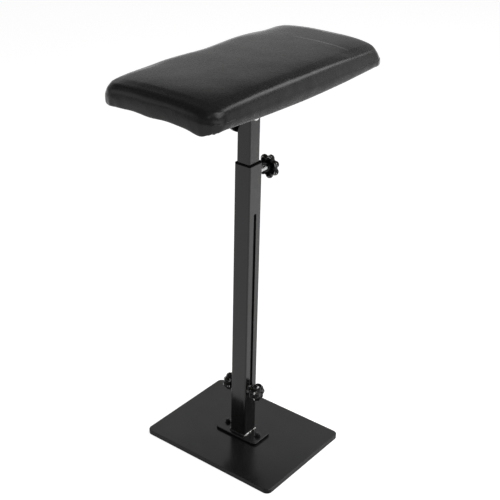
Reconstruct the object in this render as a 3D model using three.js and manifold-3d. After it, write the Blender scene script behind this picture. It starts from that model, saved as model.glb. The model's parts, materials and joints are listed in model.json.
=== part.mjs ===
// Height-adjustable leg rest stand: a steel base plate, a telescopic square post and a tilting pad.
// Millimetres, +Z up. The origin is the centre of the base plate's underside.
// +X runs along the pad, +Y across it. The two slot knobs are on the -Y and +Y faces of the post,
// the clamp knob is on its +X face, and the pad tilts about an axis along Y.
import * as THREE from 'three';
import { mergeVertices } from 'three/addons/utils/BufferGeometryUtils.js';
import Module from 'manifold-3d';

const wasm = await Module();
wasm.setup();

// Fits: what lies on or passes through a neighbour keeps one of these gaps
const seatGap = 0.3;
const boltClearance = 0.25;
const cutOverrun = 2;

// Chamfer on the edges of sheared plates and of the board
const edgeChamfer = 0.5;

// Base plate
const baseWidth = 200;
const baseLength = 260;
const baseThickness = 8;
const baseCornerRadius = 10;
const baseChamfer = 1;

// Foot flange, welded to the post and bolted to the plate
const flangeWidth = 45;
const flangeLength = 86;
const flangeThickness = 4;
const flangeCornerRadius = 8;
const weldLeg = 3;

// Foot bolts: countersunk under the plate, washer and nut on the flange
const footBoltSpacing = 64;
const footBoltDiameter = 5;
const footBoltHeadDiameter = 10.5;
const footBoltHeadHeight = 3;
const footBoltTip = 1.6;
const footSocketAcrossFlats = 3;
const footSocketDepth = 1.8;
const footNutAcrossFlats = 8;
const footNutHeight = 4;
const footWasherDiameter = 11;
const footWasherThickness = 1;

// Outer tube, with a long slot in its -Y and +Y walls
const outerTubeSize = 30;
const outerTubeWall = 1.5;
const outerTubeCorner = 2.2;
const outerTubeLength = 491;
const slotFootHeight = 86;
const slotHeadHeight = 86;

// Inner tube
const innerTubeSize = 25;
const innerTubeWall = 1.5;
const innerTubeCorner = 2.2;
const innerTubeTail = 25;
const innerTubeCrown = 13;

// Slot bolt and its two knobs
const slotBoltDiameter = 6;
const slotWasherDiameter = 19;
const slotWasherThickness = 1.5;
const slotKnobRadius = 15.2;
const slotKnobLobeDepth = 4.6;
const slotKnobRimDepth = 13.2;
const slotKnobDomeRise = 3.4;
const slotKnobHubRadius = 6;
const slotKnobHubRise = 3.4;
const slotInsertLength = 10;

// Clamp screw on the +X face, with a welded nut
const clampDrop = 23;
const clampScrewDiameter = 8;
const clampNutAcrossFlats = 13;
const clampNutHeight = 6.5;
const clampKnobStandOff = 28.5;
const clampScrewGrip = 8;
const clampKnobTurnDegrees = 41;

// The larger star knobs, on the clamp screw and on the pivot
const starKnobRadius = 20;
const starKnobLobeDepth = 7;
const starKnobRimDepth = 9.5;
const starKnobDomeRise = 2.6;
const starKnobHubRadius = 7.5;
const starKnobHubRise = 3;
const knobWall = 1.8;
const knobEdge = 1.1;
const knobLobes = 7;
const knobNotchSharpness = 1.6;
const knobInsertWall = 1.6;
const pivotInsertLength = 8;

// Pivot at the head of the post
const pivotRise = 75.5;
const pivotBoltDiameter = 8;
const pivotHeadDiameter = 16;
const pivotHeadHeight = 3.6;
const pivotWasherDiameter = 17;
const pivotWasherThickness = 1.6;

// Tilt bracket: a plate screwed under the pad, with one lug beside the post
const bracketLength = 120;
const bracketWidth = 90;
const bracketThickness = 4;
const bracketCornerRadius = 8;
const bracketScrewSpacingX = 96;
const bracketScrewSpacingY = 66;
const lugRadius = 31;
const lugDrop = 44;

// Wood screws that hold the bracket to the board
const woodScrewDiameter = 4;
const woodScrewHeadDiameter = 8;
const woodScrewHeadHeight = 2.6;
const woodScrewLength = 14;

// Pad: plywood board, foam, and a leathercloth cover turned under the board
const padLength = 420;
const padWidth = 213;
const padHeight = 41;
const padPlanCorner = 30;
const padSideBow = 2;
const padLowerEdge = 4;
const padLowerInset = 3;
const padEdgeRadius = 12.5;
const padShoulderInset = 0.6;
const padCrownAcross = 9.5;
const padCrownAlong = 3.5;
const padCornerDrop = 3;
const padCornerDroop = 4;
const padSideDroop = 1;
const coverThickness = 1.2;
const coverSlack = 0.6;
const hemWidth = 34;
const boardThickness = 12;

// Facets
const turnedSides = 20;
const cornerSteps = 4;
const lobePoints = 8;
const padSideSteps = 4;

// Heights that the stacked pieces give
const flangeBottom = baseThickness + seatGap;
const flangeTop = flangeBottom + flangeThickness;
const outerTubeBottom = flangeTop + seatGap;
const outerTubeTop = outerTubeBottom + outerTubeLength;
const slotLow = outerTubeBottom + slotFootHeight;
const slotHigh = outerTubeTop - slotHeadHeight;
const clampHeight = outerTubeTop - clampDrop;
const pivotHeight = outerTubeTop + pivotRise;
const innerTubeBottom = slotLow - innerTubeTail;
const innerTubeTop = pivotHeight + innerTubeCrown;
const bracketBottom = pivotHeight + lugDrop;
const bracketTop = bracketBottom + bracketThickness;
const boardBottom = bracketTop + seatGap;
const padBottom = boardBottom - seatGap - coverThickness;
const lugFace = innerTubeSize / 2 + pivotWasherThickness + 2 * seatGap;

// The clamp screw presses the inner tube against the outer tube's -X wall
const innerTubeShift = outerTubeSize / 2 - outerTubeWall - innerTubeSize / 2 - seatGap;

// The board's edge stands just inside the cover's lower edge
const boardEdgeInset = padLowerInset + padLowerEdge;
const boardInset = padSideBow + boardEdgeInset;

// The foam starts on the board, where the padded side is widest
const foamFoot = boardBottom - padBottom + boardThickness + seatGap;

// Finishes
function finish(color, roughness, metalness) {
  return () => new THREE.MeshStandardMaterial({ color, roughness, metalness });
}
const blackPaint = finish(0x17181a, 0.32, 0.3);
const zinc = finish(0xc9ccd0, 0.3, 0.95);
const weldMetal = finish(0x8d8f92, 0.4, 0.8);
const knobPlastic = finish(0x0f1011, 0.42, 0);
const brass = finish(0xb8913f, 0.35, 0.9);
const leathercloth = finish(0x202123, 0.45, 0);
const foam = finish(0xd8cfae, 0.95, 0);
const plywood = finish(0xb58a56, 0.75, 0);

// Solids: a mesh goes to the boolean library with only its merged positions, and comes back
function toSolid(geometry) {
  const bare = geometry.clone();
  bare.deleteAttribute('normal');
  bare.deleteAttribute('uv');
  const merged = mergeVertices(bare);
  const index = merged.index.array;
  const triVerts = [];
  for (let i = 0; i < index.length; i += 3) {
    const [a, b, c] = [index[i], index[i + 1], index[i + 2]];
    if (a !== b && b !== c && c !== a) triVerts.push(a, b, c);
  }
  const vertProperties = Float32Array.from(merged.attributes.position.array);
  return new wasm.Manifold(new wasm.Mesh({ numProp: 3, vertProperties, triVerts: Uint32Array.from(triVerts) }));
}

function toGeometry(solid) {
  const mesh = solid.getMesh();
  const geometry = new THREE.BufferGeometry();
  geometry.setAttribute('position', new THREE.BufferAttribute(Float32Array.from(mesh.vertProperties), 3));
  geometry.setIndex(new THREE.BufferAttribute(Uint32Array.from(mesh.triVerts), 1));
  return geometry;
}

function cut(body, ...tools) {
  return toGeometry(tools.reduce((solid, tool) => solid.subtract(toSolid(tool)), toSolid(body)));
}

function joined(body, ...others) {
  return toGeometry(others.reduce((solid, other) => solid.add(toSolid(other)), toSolid(body)));
}

function common(body, other) {
  return toGeometry(toSolid(body).intersect(toSolid(other)));
}

// A turned piece along Z from a profile of [radius, height] pairs
function turned(profile, sides = turnedSides) {
  const points = profile.map(([radius, height]) => new THREE.Vector2(radius, height));
  return new THREE.LatheGeometry(points, sides).rotateX(Math.PI / 2);
}

function rod(radius, low, high, sides = turnedSides) {
  return turned([[0, low], [radius, low], [radius, high], [0, high]], sides);
}

function washerRing(outerRadius, boreRadius, thickness) {
  return turned([
    [boreRadius, 0], [outerRadius, 0], [outerRadius, thickness], [boreRadius, thickness], [boreRadius, 0],
  ]);
}

// A hexagonal bar with both ends' corners turned off
function hexBar(acrossFlats, height) {
  const cornerRadius = acrossFlats / 2 / Math.cos(Math.PI / 6);
  const flatRadius = acrossFlats / 2;
  const chamfer = (cornerRadius - flatRadius) / Math.sqrt(3);
  const prism = turned([[0, 0], [cornerRadius, 0], [cornerRadius, height], [0, height]], 6);
  const lens = turned([
    [0, 0], [flatRadius, 0], [cornerRadius, chamfer], [cornerRadius, height - chamfer], [flatRadius, height],
    [0, height],
  ]);
  return common(prism, lens);
}

function hexNut(acrossFlats, height, boreRadius) {
  return cut(hexBar(acrossFlats, height), rod(boreRadius, -cutOverrun, height + cutOverrun));
}

// The outline of a rectangle with round corners, anticlockwise, as points
function roundedOutline(halfX, halfY, radius, sideSteps = 1, steps = cornerSteps) {
  const corners = [[1, 1], [-1, 1], [-1, -1], [1, -1]];
  const points = [];
  corners.forEach(([signX, signY], corner) => {
    for (let step = 0; step <= steps; step += 1) {
      const angle = (corner + step / steps) * Math.PI / 2;
      points.push(new THREE.Vector2(
        signX * (halfX - radius) + radius * Math.cos(angle),
        signY * (halfY - radius) + radius * Math.sin(angle),
      ));
    }
    const from = points[points.length - 1];
    const [nextX, nextY] = corners[(corner + 1) % 4];
    const nextAngle = (corner + 1) * Math.PI / 2;
    const to = new THREE.Vector2(
      nextX * (halfX - radius) + radius * Math.cos(nextAngle),
      nextY * (halfY - radius) + radius * Math.sin(nextAngle),
    );
    for (let step = 1; step < sideSteps; step += 1) points.push(from.clone().lerp(to, step / sideSteps));
  });
  return points;
}

// A flat plate standing on z = 0, with round plan corners and small chamfers on both faces
function plate(sizeX, sizeY, thickness, cornerRadius, chamfer) {
  const shape = new THREE.Shape(roundedOutline(sizeX / 2, sizeY / 2, cornerRadius, 1, 2 * cornerSteps));
  return new THREE.ExtrudeGeometry(shape, {
    depth: thickness - 2 * chamfer,
    bevelThickness: chamfer,
    bevelSize: chamfer,
    bevelOffset: -chamfer,
    bevelSegments: 1,
  }).translate(0, 0, chamfer);
}

function squareTube(size, wall, corner, length) {
  const shape = new THREE.Shape(roundedOutline(size / 2, size / 2, corner));
  const inner = Math.max(corner - wall, wall / 2);
  shape.holes.push(new THREE.Path(roundedOutline(size / 2 - wall, size / 2 - wall, inner).reverse()));
  return new THREE.ExtrudeGeometry(shape, { depth: length, bevelEnabled: false });
}

// A skin over a list of rings of equal length, closed by a pole at each end or, without poles, on itself
function loft(rings, startPole, endPole) {
  const count = rings[0].length;
  const vertices = rings.flat();
  const index = [];
  const bands = startPole ? rings.length - 1 : rings.length;
  for (let band = 0; band < bands; band += 1) {
    const low = band * count;
    const high = ((band + 1) % rings.length) * count;
    for (let i = 0; i < count; i += 1) {
      const next = (i + 1) % count;
      index.push(low + i, low + next, high + next, low + i, high + next, high + i);
    }
  }
  if (startPole) {
    const start = vertices.push(startPole) - 1;
    const end = vertices.push(endPole) - 1;
    const last = (rings.length - 1) * count;
    for (let i = 0; i < count; i += 1) {
      const next = (i + 1) % count;
      index.push(start, next, i, last + i, last + next, end);
    }
  }
  return new THREE.BufferGeometry().setFromPoints(vertices).setIndex(index);
}

function mesh(name, geometry, material) {
  const piece = new THREE.Mesh(geometry, material());
  piece.name = name;
  return piece;
}

// A group whose local +Z points along the given axis
function along(axis, ...pieces) {
  const group = new THREE.Group();
  group.quaternion.setFromUnitVectors(new THREE.Vector3(0, 0, 1), axis);
  group.add(...pieces);
  return group;
}

// A round tool or rod laid along Y, centred on the XZ point given
function rodAlongY(radius, x, z, from, to, sides = turnedSides) {
  return rod(radius, from, to, sides).rotateX(-Math.PI / 2).translate(x, 0, z);
}

// Base plate, with countersunk holes from below for the foot bolts
function basePlate() {
  const headRadius = footBoltHeadDiameter / 2 + boltClearance;
  const shankRadius = footBoltDiameter / 2 + boltClearance;
  const sink = turned([
    [0, -cutOverrun], [headRadius, -cutOverrun], [headRadius, 2 * seatGap],
    [shankRadius, footBoltHeadHeight + 2 * seatGap], [shankRadius, baseThickness + cutOverrun],
    [0, baseThickness + cutOverrun],
  ]);
  const sinks = [-1, 1].map((side) => sink.clone().translate(0, side * footBoltSpacing / 2, 0));
  return mesh('base_plate', cut(plate(baseWidth, baseLength, baseThickness, baseCornerRadius, baseChamfer),
    ...sinks), blackPaint);
}

function footFlange() {
  const hole = rod(footBoltDiameter / 2 + boltClearance, -cutOverrun, flangeThickness + cutOverrun);
  const holes = [-1, 1].map((side) => hole.clone().translate(0, side * footBoltSpacing / 2, 0));
  const flange = plate(flangeWidth, flangeLength, flangeThickness, flangeCornerRadius, edgeChamfer);
  const piece = mesh('foot_flange', cut(flange, ...holes), blackPaint);
  piece.position.z = flangeBottom;
  return piece;
}

// Fillet weld round the foot of the outer tube, a slightly hollow bead
function footWeld() {
  const sectionShares = [[0, 0], [1, 0], [0.55, 0.32], [0.24, 0.62], [0, 1]];
  const rings = sectionShares.map(([out, up]) => {
    const half = outerTubeSize / 2 + seatGap + out * weldLeg;
    const corner = outerTubeCorner + seatGap + out * weldLeg;
    return roundedOutline(half, half, corner).map(
      (point) => new THREE.Vector3(point.x, point.y, flangeTop + seatGap + up * weldLeg));
  });
  return mesh('foot_weld', loft(rings), weldMetal);
}

// One foot bolt with its washer and nut; the bolt's head is sunk in the plate's underside
function footFixing(place, side) {
  const shank = footBoltDiameter / 2;
  const washerBottom = flangeTop + seatGap;
  const nutBottom = washerBottom + footWasherThickness + seatGap;
  const tip = nutBottom + footNutHeight + footBoltTip;
  const head = footBoltHeadDiameter / 2;
  const blank = turned([
    [0, seatGap], [head, seatGap], [head, 2 * seatGap], [shank, footBoltHeadHeight + seatGap],
    [shank, tip - footBoltTip / 2], [shank - footBoltTip / 4, tip], [0, tip],
  ]);
  const socketRadius = footSocketAcrossFlats / 2 / Math.cos(Math.PI / 6);
  const bolt = mesh(`foot_bolt_${place}`, cut(blank, rod(socketRadius, -cutOverrun, footSocketDepth, 6)), zinc);
  const bore = shank + boltClearance;
  const washer = mesh(`foot_washer_${place}`,
    washerRing(footWasherDiameter / 2, bore, footWasherThickness), zinc);
  washer.position.z = washerBottom;
  const nut = mesh(`foot_nut_${place}`, hexNut(footNutAcrossFlats, footNutHeight, bore), zinc);
  nut.position.z = nutBottom;
  const group = new THREE.Group();
  group.position.y = side * footBoltSpacing / 2;
  group.add(bolt, washer, nut);
  return group;
}

// Outer tube with its two slots and the clamp screw's hole in the +X wall
function outerTube() {
  const slotRadius = slotBoltDiameter / 2 + boltClearance;
  const depth = outerTubeSize + 2 * cutOverrun;
  const slot = new THREE.Shape();
  slot.absarc(0, slotHigh - outerTubeBottom, slotRadius, 0, Math.PI, false);
  slot.absarc(0, slotLow - outerTubeBottom, slotRadius, Math.PI, 2 * Math.PI, false);
  const slotTool = new THREE.ExtrudeGeometry(slot, { depth, bevelEnabled: false, curveSegments: 2 * cornerSteps })
    .rotateX(Math.PI / 2).translate(0, depth / 2, 0);
  const hole = rod(clampScrewDiameter / 2 + boltClearance, 0, outerTubeSize)
    .rotateY(Math.PI / 2).translate(0, 0, clampHeight - outerTubeBottom);
  const tube = squareTube(outerTubeSize, outerTubeWall, outerTubeCorner, outerTubeLength);
  const piece = mesh('outer_tube', cut(tube, slotTool, hole), blackPaint);
  piece.position.z = outerTubeBottom;
  return piece;
}

// Inner tube, bored along Y for the slot bolt and the pivot bolt
function innerTube() {
  const reach = innerTubeSize / 2 + cutOverrun;
  const slotHole = rodAlongY(slotBoltDiameter / 2 + boltClearance, innerTubeShift, slotLow - innerTubeBottom,
    -reach, reach);
  const pivotHole = rodAlongY(pivotBoltDiameter / 2 + boltClearance, innerTubeShift,
    pivotHeight - innerTubeBottom, -reach, reach);
  const tube = squareTube(innerTubeSize, innerTubeWall, innerTubeCorner, innerTubeTop - innerTubeBottom);
  const piece = mesh('inner_tube', cut(tube, slotHole, pivotHole), blackPaint);
  piece.position.set(-innerTubeShift, 0, innerTubeBottom);
  return piece;
}

// A ring of the star knob's outline: round where lobeDepth is zero
function knobRing(radius, lobeDepth, height) {
  const count = knobLobes * lobePoints;
  return Array.from({ length: count }, (_, i) => {
    const angle = 2 * Math.PI * i / count;
    const notchShare = ((1 - Math.cos(knobLobes * angle)) / 2) ** knobNotchSharpness;
    const reach = radius - notchShare * lobeDepth;
    return new THREE.Vector3(reach * Math.cos(angle), reach * Math.sin(angle), height);
  });
}

// Moulded star knob along +Z, its hub's seat at z = 0: a lobed rim, a low domed face and a hollow back
// that leaves a wall round the lobes and a hub with a blind bore
function starKnob({ radius, lobeDepth, rimDepth, domeRise, hubRadius, hubRise, boreRadius, boreDepth }) {
  const rimBack = hubRise;
  const rimFront = hubRise + rimDepth;
  const pocketFloor = Math.max(rimFront - knobWall, boreDepth + knobWall / 2);
  const domeShares = [[0.84, 0.7, 0.45], [0.55, 0.3, 0.82]];
  const rings = [
    knobRing(boreRadius, 0, boreDepth),
    knobRing(boreRadius, 0, 0),
    knobRing(hubRadius, 0, 0),
    knobRing(hubRadius, 0, pocketFloor),
    knobRing(radius - knobWall, lobeDepth, pocketFloor),
    knobRing(radius - knobWall, lobeDepth, rimBack),
    knobRing(radius - knobEdge / 2, lobeDepth, rimBack),
    knobRing(radius, lobeDepth, rimBack + knobEdge),
    knobRing(radius, lobeDepth, rimFront - knobEdge),
    knobRing(radius - knobEdge, lobeDepth, rimFront),
    ...domeShares.map(([radiusShare, lobeShare, riseShare]) => knobRing(radiusShare * (radius - knobEdge),
      lobeShare * lobeDepth, rimFront + riseShare * domeRise)),
  ];
  return loft(rings, new THREE.Vector3(0, 0, boreDepth), new THREE.Vector3(0, 0, rimFront + domeRise));
}

function insertSleeve(boreRadius, length) {
  return washerRing(boreRadius + knobInsertWall, boreRadius, length);
}

// A slot knob with its threaded insert, seated on its washer outside the tube
function slotKnob(place, direction) {
  const seat = outerTubeSize / 2 + slotWasherThickness + 2 * seatGap;
  const threadRadius = slotBoltDiameter / 2 + boltClearance;
  const knob = mesh(`${place}_slot_knob`, starKnob({
    radius: slotKnobRadius,
    lobeDepth: slotKnobLobeDepth,
    rimDepth: slotKnobRimDepth,
    domeRise: slotKnobDomeRise,
    hubRadius: slotKnobHubRadius,
    hubRise: slotKnobHubRise,
    boreRadius: threadRadius + knobInsertWall + seatGap,
    boreDepth: slotInsertLength + 2 * seatGap,
  }), knobPlastic);
  const insert = mesh(`${place}_knob_insert`, insertSleeve(threadRadius, slotInsertLength), brass);
  insert.position.z = seatGap;
  const onAxis = new THREE.Group();
  onAxis.position.z = seat + seatGap;
  onAxis.add(knob, insert);
  const group = along(new THREE.Vector3(0, direction, 0), onAxis);
  group.position.z = slotLow;
  return group;
}

// The bolt through both slots, which carries the post, and the washers under its knobs
function slotBolt() {
  const knobSeat = outerTubeSize / 2 + slotWasherThickness + 3 * seatGap;
  const reach = knobSeat + slotInsertLength;
  const bolt = mesh('slot_bolt', turned([
    [0, -reach], [slotBoltDiameter / 2, -reach], [slotBoltDiameter / 2, reach], [0, reach],
  ]), zinc);
  const group = along(new THREE.Vector3(0, 1, 0), bolt);
  group.position.z = slotLow;
  return group;
}

function slotWasher(place, direction) {
  const washer = mesh(`${place}_slot_washer`, washerRing(slotWasherDiameter / 2,
    slotBoltDiameter / 2 + boltClearance, slotWasherThickness), zinc);
  washer.position.z = outerTubeSize / 2 + seatGap;
  const group = along(new THREE.Vector3(0, direction, 0), washer);
  group.position.z = slotLow;
  return group;
}

// Clamp: a nut welded on the +X face, and a screw that presses the inner tube, moulded in a star knob
function clampNut() {
  const nut = mesh('clamp_nut', hexNut(clampNutAcrossFlats, clampNutHeight, clampScrewDiameter / 2 + boltClearance),
    blackPaint);
  nut.position.z = outerTubeSize / 2 + seatGap;
  const group = along(new THREE.Vector3(1, 0, 0), nut);
  group.position.z = clampHeight;
  return group;
}

function clampParts() {
  const hubSeat = outerTubeSize / 2 + clampKnobStandOff;
  const tip = innerTubeSize / 2 - innerTubeShift + seatGap;
  const end = hubSeat + clampScrewGrip;
  const screw = mesh('clamp_screw', turned([
    [0, tip], [clampScrewDiameter / 3, tip], [clampScrewDiameter / 2, tip + clampScrewDiameter / 6],
    [clampScrewDiameter / 2, end], [0, end],
  ]), zinc);
  const knob = mesh('clamp_knob', starKnob({
    radius: starKnobRadius,
    lobeDepth: starKnobLobeDepth,
    rimDepth: starKnobRimDepth,
    domeRise: starKnobDomeRise,
    hubRadius: starKnobHubRadius,
    hubRise: starKnobHubRise,
    boreRadius: clampScrewDiameter / 2 + boltClearance,
    boreDepth: clampScrewGrip + seatGap,
  }), knobPlastic);
  knob.position.z = hubSeat;
  knob.rotation.z = THREE.MathUtils.degToRad(clampKnobTurnDegrees);
  const group = along(new THREE.Vector3(1, 0, 0), screw, knob);
  group.position.z = clampHeight;
  return group;
}

// Pivot: a round-headed bolt from the -Y side, a spacer between tube and lug, and the tilt knob on +Y
function pivotParts() {
  const washerRadius = pivotWasherDiameter / 2;
  const bore = pivotBoltDiameter / 2 + boltClearance;
  const tubeSide = innerTubeSize / 2;
  const headSeat = tubeSide + seatGap;
  const outerWasherSeat = lugFace + bracketThickness + seatGap;
  const knobSeat = outerWasherSeat + pivotWasherThickness + seatGap;
  const boltEnd = knobSeat + seatGap + pivotInsertLength;
  const headRadius = pivotHeadDiameter / 2;
  const domeShares = [[0.45, 0.92], [0.78, 0.62], [0.96, 0.24]];
  const bolt = mesh('pivot_bolt', turned([
    [0, -headSeat - pivotHeadHeight],
    ...domeShares.map(([radiusShare, riseShare]) => [radiusShare * headRadius,
      -headSeat - riseShare * pivotHeadHeight]),
    [headRadius, -headSeat], [pivotBoltDiameter / 2, -headSeat], [pivotBoltDiameter / 2, boltEnd], [0, boltEnd],
  ]), zinc);
  const washer = washerRing(washerRadius, bore, pivotWasherThickness);
  const spacer = mesh('tilt_spacer_washer', washer.clone(), zinc);
  spacer.position.z = tubeSide + seatGap;
  const outer = mesh('tilt_knob_washer', washer.clone(), zinc);
  outer.position.z = outerWasherSeat;
  const knob = mesh('tilt_knob', starKnob({
    radius: starKnobRadius,
    lobeDepth: starKnobLobeDepth,
    rimDepth: starKnobRimDepth,
    domeRise: starKnobDomeRise,
    hubRadius: starKnobHubRadius,
    hubRise: starKnobHubRise,
    boreRadius: bore + knobInsertWall + seatGap,
    boreDepth: pivotInsertLength + 2 * seatGap,
  }), knobPlastic);
  knob.position.z = knobSeat;
  const insert = mesh('tilt_knob_insert', insertSleeve(bore, pivotInsertLength), brass);
  insert.position.z = knobSeat + seatGap;
  const group = along(new THREE.Vector3(0, 1, 0), bolt, spacer, outer, knob, insert);
  group.position.z = pivotHeight;
  return group;
}

const bracketScrewPlaces = [[-1, -1], [1, -1], [1, 1], [-1, 1]].map(
  ([signX, signY]) => new THREE.Vector2(signX * bracketScrewSpacingX / 2, signY * bracketScrewSpacingY / 2));

// Tilt bracket: the plate and, welded under it, a lug with a round end about the pivot
function tiltBracket() {
  const screwHole = rod(woodScrewDiameter / 2 + boltClearance, -cutOverrun, bracketThickness + cutOverrun);
  const holes = bracketScrewPlaces.map((place) => screwHole.clone().translate(place.x, place.y, 0));
  const top = cut(plate(bracketLength, bracketWidth, bracketThickness, bracketCornerRadius, edgeChamfer),
    ...holes);
  const outline = new THREE.Shape();
  outline.absarc(0, 0, lugRadius, Math.PI, 2 * Math.PI, false);
  outline.lineTo(lugRadius, lugDrop + bracketThickness / 2);
  outline.lineTo(-lugRadius, lugDrop + bracketThickness / 2);
  const lug = new THREE.ExtrudeGeometry(outline, {
    depth: bracketThickness, bevelEnabled: false, curveSegments: turnedSides,
  }).rotateX(Math.PI / 2).translate(0, lugFace + bracketThickness, -lugDrop);
  const bore = rodAlongY(pivotBoltDiameter / 2 + boltClearance, 0, -lugDrop, lugFace - cutOverrun,
    lugFace + bracketThickness + cutOverrun);
  const piece = mesh('tilt_bracket', cut(joined(top, lug), bore), blackPaint);
  piece.position.z = bracketBottom;
  return piece;
}

// Pan-head wood screws from below, through the bracket into the board
function bracketScrews() {
  const shank = woodScrewDiameter / 2;
  const head = woodScrewHeadDiameter / 2;
  const headTop = -seatGap;
  const panTopShare = 0.6;
  const profile = [
    [0, headTop - woodScrewHeadHeight], [panTopShare * head, headTop - woodScrewHeadHeight],
    [head, headTop - woodScrewHeadHeight / 2], [head, headTop], [shank, headTop],
    [shank, woodScrewLength - 2 * shank], [0, woodScrewLength],
  ];
  return bracketScrewPlaces.map((place, i) => {
    const piece = mesh(`bracket_screw_${i + 1}`, turned(profile), zinc);
    piece.position.set(place.x, place.y, bracketBottom);
    return piece;
  });
}

function padBoard() {
  const board = plate(padLength - 2 * boardInset, padWidth - 2 * boardInset, boardThickness,
    padPlanCorner - boardEdgeInset, edgeChamfer);
  const holeRadius = woodScrewDiameter / 2 + boltClearance;
  const holeDepth = woodScrewLength - bracketThickness - seatGap + boltClearance;
  const hole = rod(holeRadius, -cutOverrun, holeDepth);
  const holes = bracketScrewPlaces.map((place) => hole.clone().translate(place.x, place.y, 0));
  const piece = mesh('pad_board', cut(board, ...holes), plywood);
  piece.position.z = boardBottom;
  return piece;
}

// Height of the padded top over the pad's underside at a plan point: crowned both ways, lower at the corners
function crownHeight(x, y) {
  const alongShare = Math.abs(x) / (padLength / 2);
  const acrossShare = Math.abs(y) / (padWidth / 2);
  return padHeight - padCrownAlong * alongShare ** 2 - padCrownAcross * acrossShare ** 2
    - padCornerDrop * (alongShare * acrossShare) ** 4;
}

// The rounding of the top edge, limited by the height left over the board
function edgeRadius(x, y) {
  return Math.min(padEdgeRadius, crownHeight(x, y) - foamFoot - seatGap);
}

// How far the cover's lower edge hangs at a plan point: a little along the sides, most round the folded corners
function lowerDroop(x, y) {
  const pastX = Math.max(Math.abs(x) - padLength / 2 + padPlanCorner, 0) / padPlanCorner;
  const pastY = Math.max(Math.abs(y) - padWidth / 2 + padPlanCorner, 0) / padPlanCorner;
  return padSideDroop + 2 * padCornerDroop * pastX * pastY;
}

// One ring of the padded surface at `inset` from the widest outline. The sides bow out between the corners.
// `up` is a height over the underside, less a share of the droop there. Without it the ring lies a share
// of the edge's rounding below the crown.
// `offset` moves the ring inward, square to the surface, whose normal leans by `lean`.
function padRing({ inset, up, dropShare, lean, droopShare = 0 }, offset) {
  const planInset = inset + offset * Math.cos(lean);
  const halfX = padLength / 2 - padSideBow - planInset;
  const halfY = padWidth / 2 - padSideBow - planInset;
  const corner = Math.max(padPlanCorner - planInset, padEdgeRadius / 2);
  return roundedOutline(halfX, halfY, Math.min(corner, halfY), padSideSteps, 2 * cornerSteps).map((point) => {
    const bowX = padSideBow * (point.x / halfX) * Math.cos(Math.PI / 2 * point.y / halfY);
    const bowY = padSideBow * (point.y / halfY) * Math.cos(Math.PI / 2 * point.x / halfX);
    const x = point.x + bowX;
    const y = point.y + bowY;
    const height = up === undefined
      ? crownHeight(x, y) - dropShare * edgeRadius(x, y)
      : up - droopShare * lowerDroop(x, y);
    return new THREE.Vector3(x, y, height - offset * Math.sin(lean));
  });
}

// The rings of the padded side and top, from the lower edge to the middle of the crown
function sideSection() {
  const arc = (angle) => ({
    inset: padShoulderInset + padEdgeRadius * (1 - Math.cos(angle)),
    dropShare: 1 - Math.sin(angle),
    lean: angle,
  });
  const crownInsetShares = [0.36, 0.72];
  return [
    { inset: 0, up: foamFoot, lean: 0 },
    arc(0), arc(Math.PI / 6), arc(Math.PI / 3), arc(Math.PI / 2.2),
    ...crownInsetShares.map((share) => ({ inset: share * padWidth / 2, dropShare: 0, lean: Math.PI / 2 })),
  ];
}

// The turned-under hem and the lower edge, from the hem's inner end outward
function lowerSection() {
  // Inset and height as shares of the lower edge's size, share of the droop, and lean as a share of a right angle
  const edgeShares = [[1.6, 0, 0.7, -1], [0.5, 0.15, 1, -0.67], [-0.2, 1, 0.8, -0.25]];
  return [
    { inset: hemWidth, up: 0, lean: -Math.PI / 2 },
    ...edgeShares.map(([insetShare, upShare, droopShare, leanShare]) => ({
      inset: padLowerInset + insetShare * padLowerEdge,
      up: upShare * padLowerEdge,
      lean: leanShare * Math.PI / 2,
      droopShare,
    })),
  ];
}

function crownPole(offset) {
  return new THREE.Vector3(0, 0, crownHeight(0, 0) - offset);
}

// The cover is one closed skin: its inner face, the hem's edge and its outer face
function leatherCover() {
  const section = [...lowerSection(), ...sideSection()];
  const outerFace = section.map((ring) => padRing(ring, 0));
  const innerFace = section.map((ring) => padRing(ring, coverThickness));
  const cover = loft([...innerFace.reverse(), ...outerFace], crownPole(coverThickness), crownPole(0));
  const piece = mesh('leather_cover', cover, leathercloth);
  piece.position.z = padBottom;
  return piece;
}

// The foam fills the cover above the board
function foamCore() {
  const offset = coverThickness + coverSlack;
  const rings = sideSection().map((ring) => padRing(ring, offset));
  const core = loft(rings, new THREE.Vector3(0, 0, foamFoot), crownPole(offset));
  const piece = mesh('foam_core', core, foam);
  piece.position.z = padBottom;
  return piece;
}

const legRestStand = new THREE.Group();
legRestStand.add(
  basePlate(), footFlange(), footWeld(),
  footFixing('front', -1), footFixing('rear', 1),
  outerTube(), clampNut(),
  innerTube(), slotBolt(), slotWasher('front', -1), slotWasher('rear', 1),
  slotKnob('front', -1), slotKnob('rear', 1),
  clampParts(), pivotParts(),
  tiltBracket(), ...bracketScrews(),
  padBoard(), foamCore(), leatherCover(),
);

export default legRestStand;
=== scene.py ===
# %% [markdown]
# # A leg rest stand
# The real stand is a steel plate, a square post in two tubes that slide in each other, four moulded star
# knobs that clamp it, and a padded leathercloth top that tilts. The packed model already holds every piece at
# its real size, so this script never moves one. It gives the pieces their fine shapes and their finishes.

# %% Load the packed model
import json
import math

import bmesh
import bpy
import numpy as np
from mathutils import Matrix, Vector, noise


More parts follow.
